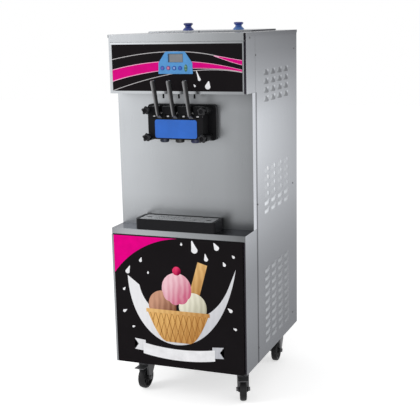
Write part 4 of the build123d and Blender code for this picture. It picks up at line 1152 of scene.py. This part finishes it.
# ------------------------------------------------------------------------------
# Outlet rings: moulded plastic caps with a grip of fine ribs, screwed on under the
# three outlets, each in its own dark tint.
ring_tints = [(0.008, 0.016, 0.045), (0.012, 0.011, 0.011), (0.010, 0.014, 0.075)]
outlet_bore, spigot_radius, spigot_reach = 0.009, 0.014, 0.006
ring_chamfer_out, ring_chamfer_up = 0.0022, 0.002
rib_count, rib_depth, rib_width = 36, 0.0016, 0.0013
rib_foot, rib_short = 0.0035, 0.0015
rings = sorted(islands("nozzle_caps"), key=lambda corners: corners[0].x)
for index, ((low, high), tint) in enumerate(zip(rings, ring_tints), start=1):
    middle = (low + high) / 2
    radius = (high.x - low.x) / 2 - rib_depth / 2
    spigot_top = high.z - low.z
    ring_top = spigot_top - spigot_reach
    cap_mesh = bmesh.new()
    turned(cap_mesh, [(outlet_bore, 0), (radius - ring_chamfer_out, 0), (radius, ring_chamfer_up),
                      (radius, ring_top), (spigot_radius, ring_top), (spigot_radius, spigot_top),
                      (outlet_bore, spigot_top), (outlet_bore, 0)], segments=40)
    rib_top = ring_top - rib_short
    rib = bmesh.new()
    add_box(rib, (rib_depth, rib_width, rib_top - rib_foot), (radius, 0, (rib_top + rib_foot) / 2))
    add_copies(cap_mesh, rib, turns_about_z(rib_count))
    rib.free()
    bmesh.ops.translate(cap_mesh, verts=cap_mesh.verts, vec=(middle.x, middle.y, low.z))
    cap_plastic = mottled_material(f"ring plastic {index}", tint, 0.3, 0.1, 90.0)
    replaced = ("nozzle_caps",) if index == 1 else ()
    smooth_piece(finish_piece(f"outlet_ring_{index}", cap_mesh, cap_plastic, replaced=replaced))

# ------------------------------------------------------------------------------
# Switch levers: thin black plastic tongues that hang out of the floor of the head,
# one behind each handle.
# The levers share the block's moulding, with its painted light on faces that look right.
coat(side_lit_moulding, "handle_switches")

# ------------------------------------------------------------------------------
# Drip tray and grille: a black moulded tray that stands loose on the ledge, with a
# grille of perforated stainless sheet let into its rim.
tray_plastic = mottled_material("tray plastic", (0.0085, 0.0085, 0.010), 0.36, 0.14, 60.0, specular=0.1)
grille_steel = mottled_material("grille steel", (0.52, 0.525, 0.53), 0.3, 0.4, 45.0, metallic=0.95)
rounded_piece("tray_moulding", "drip_tray", moulded_radius, tray_plastic, body="drip_tray")
coat(grille_steel, "drip_grille")

# ------------------------------------------------------------------------------
# Lower front cover: folded sheet, printed black all over, with a magenta corner
# under an arc and a sundae bowl with three scoops, a pale wave, drops and a plain
# ribbon.
rounded_piece("lower_cover_sheet", "lower_front_cover", fold_radius, black_print)
cover_front = front_low.y
cover_margin = 1.0
cover_half = front_high.x * 1000 - cover_margin
cover_top = front_high.z * 1000 - cover_margin


def arc(start, end, rise, steps=32):
    """Points along a circular arc from start to end that rises to the left of the chord."""
    a, b = Vector(start), Vector(end)
    chord = b - a
    radius = (chord.length ** 2 / 4 + rise ** 2) / (2 * rise)
    left = Vector((-chord.y, chord.x)).normalized()
    centre = (a + b) / 2 + left * (rise - radius)
    first = math.atan2(a.y - centre.y, a.x - centre.x)
    sweep = 2 * math.asin(min(1.0, chord.length / 2 / abs(radius))) * (1 if radius > 0 else -1)
    return [(centre.x + abs(radius) * math.cos(first - sweep * step / steps),
             centre.y + abs(radius) * math.sin(first - sweep * step / steps)) for step in range(steps + 1)]


corner_arc = arc((-cover_half, 512), (4, cover_top), 33)
printed("cover_corner", corner_arc + [(-cover_half, cover_top)], cover_front, 1,
        ink("bright magenta ink", (0.79, 0.0, 0.235)))


dark_reach = 1.3


def shaded_ink(name, light, dark, centre, reach, swirls=0.32):
    """Ink that darkens from the upper left of a round shape to its lower right, with soft swirls."""
    material, tree, shader = shader_material(name, light, 0.45, specular=0.03)
    mapping = tree.nodes.new("ShaderNodeMapping")
    mapping.vector_type = "POINT"
    mapping.inputs["Location"].default_value = (-centre[0] / 1000, 0, -centre[1] / 1000)
    wire(tree, object_place(tree), mapping.inputs["Vector"])
    off_centre = place_parts(tree, mapping.outputs["Vector"])
    slant = math_node(tree, "SUBTRACT", off_centre["X"], off_centre["Z"])
    shade = range_node(tree, slant, -reach / 1000, reach * dark_reach / 1000)
    swirl = tree.nodes.new("ShaderNodeTexWave")
    swirl.inputs["Scale"].default_value = 14.0
    swirl.inputs["Distortion"].default_value = 5.0
    swirl.inputs["Detail"].default_value = 2.0
    wire(tree, mapping.outputs["Vector"], swirl.inputs["Vector"])
    swirl_part = math_node(tree, "MULTIPLY", math_node(tree, "SUBTRACT", swirl.outputs["Fac"], 0.5), swirls)
    factor = math_node(tree, "ADD", shade, swirl_part, clamp=True)
    wire(tree, mix_colors(tree, factor, light, dark), shader.inputs["Base Color"])
    return material


frill_depth = 0.10


def scoop_outline(x, z, radius, scallops=9, steps=90):
    """A round scoop with a frilled lower edge, as (x, z)."""
    outline = []
    for step in range(steps):
        turn = math.tau * step / steps
        frill = max(0.0, -math.sin(turn)) * frill_depth * abs(math.sin(scallops * turn / 2))
        outline.append((x + radius * (1 + frill) * math.cos(turn), z + radius * (1 + frill) * math.sin(turn)))
    return outline


wave_ink = shaded_ink("pale wave ink", (0.86, 0.86, 0.88), (0.52, 0.53, 0.57), (40, 330), 190, swirls=0.1)
wave_outer = bend((-206, 505), (-196, 175), (160, 120), (234, 560))
wave_inner = bend((-158, 470), (-132, 318), (118, 280), (204, 486))
printed("cover_wave", wave_outer + wave_inner[::-1], cover_front, 1, wave_ink)

scoops = [
    # name, x, z, radius, light tone, dark tone
    ("brown", -64, 398, 57, (0.62, 0.33, 0.22), (0.20, 0.075, 0.04)),
    ("cream", 60, 400, 56, (0.86, 0.83, 0.68), (0.48, 0.46, 0.34)),
    ("pink", -4, 468, 60, (0.90, 0.58, 0.64), (0.62, 0.14, 0.24)),
]
wafer_ink = shaded_ink("wafer ink", (0.80, 0.50, 0.20), (0.42, 0.19, 0.05), (78, 500), 70)
wafer = [(44, 440), (84, 430), (122, 566), (84, 577)]
printed("cover_wafer", wafer, cover_front, 2, wafer_ink)
for layer, (name, x, z, radius, light, dark) in enumerate(scoops, start=3):
    printed(f"cover_scoop_{name}", scoop_outline(x, z, radius), cover_front, layer,
            shaded_ink(f"{name} scoop ink", light, dark, (x, z), radius))
printed("cover_cherry", scoop_outline(-2, 536, 17, scallops=0), cover_front, 6,
        shaded_ink("cherry ink", (0.85, 0.05, 0.16), (0.25, 0.0, 0.04), (-2, 536), 17))

bowl_middle = -2
bowl_top, bowl_foot = 372, 254
bowl_top_half, bowl_foot_half = 126, 50
bowl_flare = 0.62
bowl_steps = 16
bowl_levels = [bowl_top - (bowl_top - bowl_foot) * step / bowl_steps for step in range(bowl_steps + 1)]


def bowl_half(z):
    """Half the bowl's width at a height."""
    share = (z - bowl_foot) / (bowl_top - bowl_foot)
    return bowl_foot_half + (bowl_top_half - bowl_foot_half) * share ** bowl_flare


bowl_side = [(bowl_half(z), z) for z in bowl_levels]
bowl = [(bowl_middle + x, z) for x, z in bowl_side] + [(bowl_middle - x, z) for x, z in bowl_side[::-1]]
bowl_ink = shaded_ink("bowl ink", (0.80, 0.47, 0.16), (0.45, 0.20, 0.05), (0, 320), 110)
printed("cover_bowl", bowl, cover_front, 7, bowl_ink)
bar_ink = ink("bowl bar ink", (0.36, 0.15, 0.035))
bar_reach, bar_pitch, bar_slant, bar_half, bar_margin = 8, 23, 0.30, 1.2, 2
for index in range(-bar_reach, bar_reach + 1):
    for side, slant in (("a", bar_slant), ("b", -bar_slant)):
        middles = [(index * bar_pitch + slant * (bowl_top - z), z) for z in bowl_levels]
        middles = [(x, z) for x, z in middles if abs(x) < bowl_half(z) - bar_margin]
        if len(middles) < 3:
            continue
        bar = [(bowl_middle + x + bar_half, z) for x, z in middles]
        bar += [(bowl_middle + x - bar_half, z) for x, z in middles[::-1]]
        printed(f"cover_bowl_bar_{index + bar_reach + 1}_{side}", bar, cover_front, 8, bar_ink)
rim_half, rim_low, rim_high = 130, 366, 380
rim_left, rim_right = bowl_middle - rim_half, bowl_middle + rim_half
rim = [(rim_left, rim_low), (rim_right, rim_low), (rim_right, rim_high), (rim_left, rim_high)]
rim_ink = shaded_ink("bowl rim ink", (0.84, 0.52, 0.20), (0.50, 0.24, 0.07), (0, 372), 110)
printed("cover_bowl_rim", rim, cover_front, 9, rim_ink)

ribbon_low = arc((-150, 196), (146, 196), -14)
ribbon_top = arc((-150, 240), (146, 240), -14)
printed("cover_ribbon", ribbon_low + ribbon_top[::-1], cover_front, 8, white_ink)
ribbon_tail = [(184, 210), (138, 206), (138, 250), (184, 254), (168, 232)]
for side, way in (("left", -1), ("right", 1)):
    tail = [(bowl_middle + way * x, z) for x, z in ribbon_tail]
    printed(f"cover_ribbon_tail_{side}", tail, cover_front, 6, wave_ink)

cover_drops = [
    # x, z, radius, tail, lean in degrees
    (-206, 520, 9, 16, -24), (-150, 566, 6, 8, -18), (-224, 448, 5, 5, -40), (-120, 520, 4, 3, 0),
    (-226, 360, 6, 8, -60), (-190, 300, 4.5, 4, -70), (72, 622, 13, 24, 16), (118, 590, 8, 14, 10),
    (160, 636, 10, 12, 30), (190, 574, 6, 6, 24), (226, 606, 5, 4, 40), (212, 400, 7, 8, 50),
    (230, 330, 5, 5, 70), (20, 640, 4.5, 3, 0),
]
for index, (x, z, radius, tail, lean) in enumerate(cover_drops, start=1):
    outline = drop_outline(x, z, radius, tail, math.radians(lean))
    printed(f"cover_drop_{index}", outline, cover_front, 2, white_ink)

# ------------------------------------------------------------------------------
# Hopper lids: shallow stainless pressings that lift off, with thin skirts that hang
# over the rims, and a waisted blue plastic knob screwed on each.
knob_tints = {
    # at the foot, at the crown
    "left": ((0.020, 0.045, 0.24), (0.022, 0.030, 0.15)),
    "right": ((0.050, 0.16, 0.42), (0.032, 0.028, 0.20)),
}
spool_profile = [
    # share of the base's radius, share of the height
    (0, 0), (1.0, 0), (1.0, 0.10), (0.94, 0.17), (0.64, 0.38), (0.56, 0.50), (0.58, 0.58), (0.80, 0.74),
    (0.86, 0.79), (0.86, 0.87), (0.80, 0.94), (0.66, 0.98), (0.3, 0.99), (0.26, 0.96), (0, 0.96),
]


def graded_plastic(name, foot_color, crown_color, foot, crown):
    """Plastic whose colour changes from its foot to its crown."""
    roughness = 0.25
    material, tree, shader = shader_material(name, foot_color, roughness, specular=0.4)
    factor = range_node(tree, place_parts(tree, object_place(tree))["Z"], foot, crown)
    mottle(tree, shader, mix_colors(tree, factor, foot_color, crown_color), 60.0, roughness, 0.1)
    return material


# The sheen of the lids is painted: darker from left to right, lightest on top and darkest on the right-hand
# side.
lid_tones = [(0.2, 0.45), (0.5, 0.37), (0.8, 0.27), (1.0, 0.22)]
lid_side_shade, lid_top_light = (0.155, 0.16, 0.166), (0.55, 0.56, 0.57)


def lid_color(tree, place):
    """The painted sheen on a lid: lightest on top, darkest on the right-hand side."""
    normal = normal_parts(tree, "True Normal")
    across = range_node(tree, place_parts(tree, place)["X"], -cabinet_high.x, cabinet_high.x)
    is_top = math_node(tree, "GREATER_THAN", normal["Z"], facing)
    is_right = math_node(tree, "GREATER_THAN", normal["X"], facing)
    front = mix_colors(tree, is_top, tone_ramp(tree, across, lid_tones), lid_top_light)
    return mix_colors(tree, is_right, front, lid_side_shade)


lid_steel = brushed_material("lid sheet", 0.25, lid_color)
skirt_sheet, skirt_gap = 0.0008, 0.0003
for side in ("left", "right"):
    body = f"hopper_lid_{side}"
    lid_low, lid_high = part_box(body)
    lid_mesh = rounded_copy(body, fold_radius)
    lid_middle, lid_size = (lid_low + lid_high) / 2, lid_high - lid_low
    skirt_foot, skirt_top = deck_top + skirt_gap, lid_middle.z
    for way in (-1, 1):
        for size_x, size_y in ((lid_size.x, skirt_sheet), (skirt_sheet, lid_size.y)):
            wall_x = lid_middle.x + (lid_size.x - size_x) / 2 * way
            wall_y = lid_middle.y + (lid_size.y - size_y) / 2 * way
            add_box(lid_mesh, (size_x, size_y, skirt_top - skirt_foot),
                    (wall_x, wall_y, (skirt_top + skirt_foot) / 2))
    smooth_piece(finish_piece(f"lid_pressing_{side}", lid_mesh, lid_steel, body=body, replaced=(body,)))
    low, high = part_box(f"lid_knob_{side}")
    middle = (low + high) / 2
    height = high.z - low.z
    base = (high.x - low.x) / 2
    spool = bmesh.new()
    turned(spool, [(base * out, height * up) for out, up in spool_profile], segments=40)
    bmesh.ops.translate(spool, verts=spool.verts, vec=(middle.x, middle.y, low.z))
    foot_color, crown_color = knob_tints[side]
    knob_material = graded_plastic(f"lid knob plastic {side}", foot_color, crown_color, low.z, high.z)
    smooth_piece(finish_piece(f"lid_spool_{side}", spool, knob_material, body=body,
                              replaced=(f"lid_knob_{side}",)), angle=28)

# ------------------------------------------------------------------------------
# Casters: zinc-plated pressed forks, with a crown and two cheeks, over black moulded
# wheels. Each wheel has a rounded tread, a dished web with spokes and a raised hub.
fork_zinc = mottled_material("caster zinc", (0.11, 0.11, 0.115), 0.45, 0.25, 60.0, metallic=0.5,
                             specular=0.3)
tyre_rubber = mottled_material("wheel tread", (0.011, 0.011, 0.012), 0.5, 0.2, 120.0, specular=0.2)
tread, web, hub_end = 0.013, 0.005, 0.0192
wheel_profile = [
    # radius, half width at it, from the bore to the tread's middle
    (0.0052, hub_end), (0.0105, hub_end), (0.012, 0.0178), (0.0125, 0.008), (0.016, web), (0.031, web),
    (0.034, 0.0095), (0.035, 0.012), (0.0405, tread), (0.0445, 0.0105), (0.0458, 0.006), (0.046, 0.0),
]
spoke_count, spoke_size, spoke_middle = 8, (0.021, 0.0028, 0.0185), 0.0235
pressing_radius = 0.0009
wheel_joints = {joint["child"]: joint for joint in frame["joints"] if joint["name"].endswith("_roll")}
for node, joint in wheel_joints.items():
    axle = Vector(joint["axis"])
    place = Vector(joint["pos_m"])
    wheel = bmesh.new()
    near_half = [(radius, -half) for radius, half in wheel_profile]
    turned(wheel, near_half + wheel_profile[-2::-1] + near_half[:1], segments=48)
    spoke = bmesh.new()
    add_box(spoke, spoke_size, (spoke_middle, 0, 0))
    add_copies(wheel, spoke, turns_about_z(spoke_count))
    spoke.free()
    bmesh.ops.transform(wheel, verts=wheel.verts, matrix=aim_from_z(axle, place))
    smooth_piece(finish_piece(f"{node}_moulding", wheel, tyre_rubber, body=node, replaced=(node,)))
# A cheek runs from above the hub to over the tread, and the crown reaches from behind
# the hub to over the pedal's pin.
cheek_from, cheek_to, cheek_width, cheek_foot, cheek_head = 0.0142, 0.0200, 0.026, 0.0135, 0.002
crown_from, crown_to, crown_sheet = -0.004, 0.014, 0.0035
swivels = {joint["child"]: joint for joint in frame["joints"] if joint["name"].endswith("_swivel")}
for corner in ("front_left", "front_right", "rear_left", "rear_right"):
    fork = f"caster_fork_{corner}"
    wheel_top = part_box(f"caster_wheel_{corner}")[1].z
    hub = Vector(wheel_joints[f"caster_wheel_{corner}"]["pos_m"])
    ahead = hub - Vector(swivels[fork]["pos_m"])
    turn = math.atan2(-ahead.x, ahead.y)
    beside_hub = Matrix.Translation((hub.x, hub.y, 0)) @ Matrix.Rotation(turn, 4, "Z")
    pressing = rounded_copy(fork, pressing_radius)
    low, high = hub.z + cheek_foot, wheel_top + cheek_head
    for way in (-1, 1):
        add_box(pressing, (cheek_to - cheek_from, cheek_width, high - low),
                (way * (cheek_from + cheek_to) / 2, 0, (low + high) / 2), beside_hub)
    add_box(pressing, (2 * cheek_to, crown_to - crown_from, crown_sheet),
            (0, (crown_from + crown_to) / 2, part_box(fork)[1].z - crown_sheet / 2), beside_hub)
    smooth_piece(finish_piece(f"{fork}_pressing", pressing, fork_zinc, body=fork,
                              replaced=(fork,)))
for corner in ("front_left", "front_right"):
    pedal = f"brake_pedal_{corner}"
    rounded_piece(f"{pedal}_pressing", pedal, pressing_radius, fork_zinc, body=pedal)
coat(fork_zinc, "caster_plates")

# ------------------------------------------------------------------------------
# Cooling fan and cord gland: black mouldings, the fan on the condenser's motor
# behind the slots and the gland in the rear panel.
# They share the block's moulding, with its painted light on faces that look right.
coat(side_lit_moulding, "fan", "cable_gland")
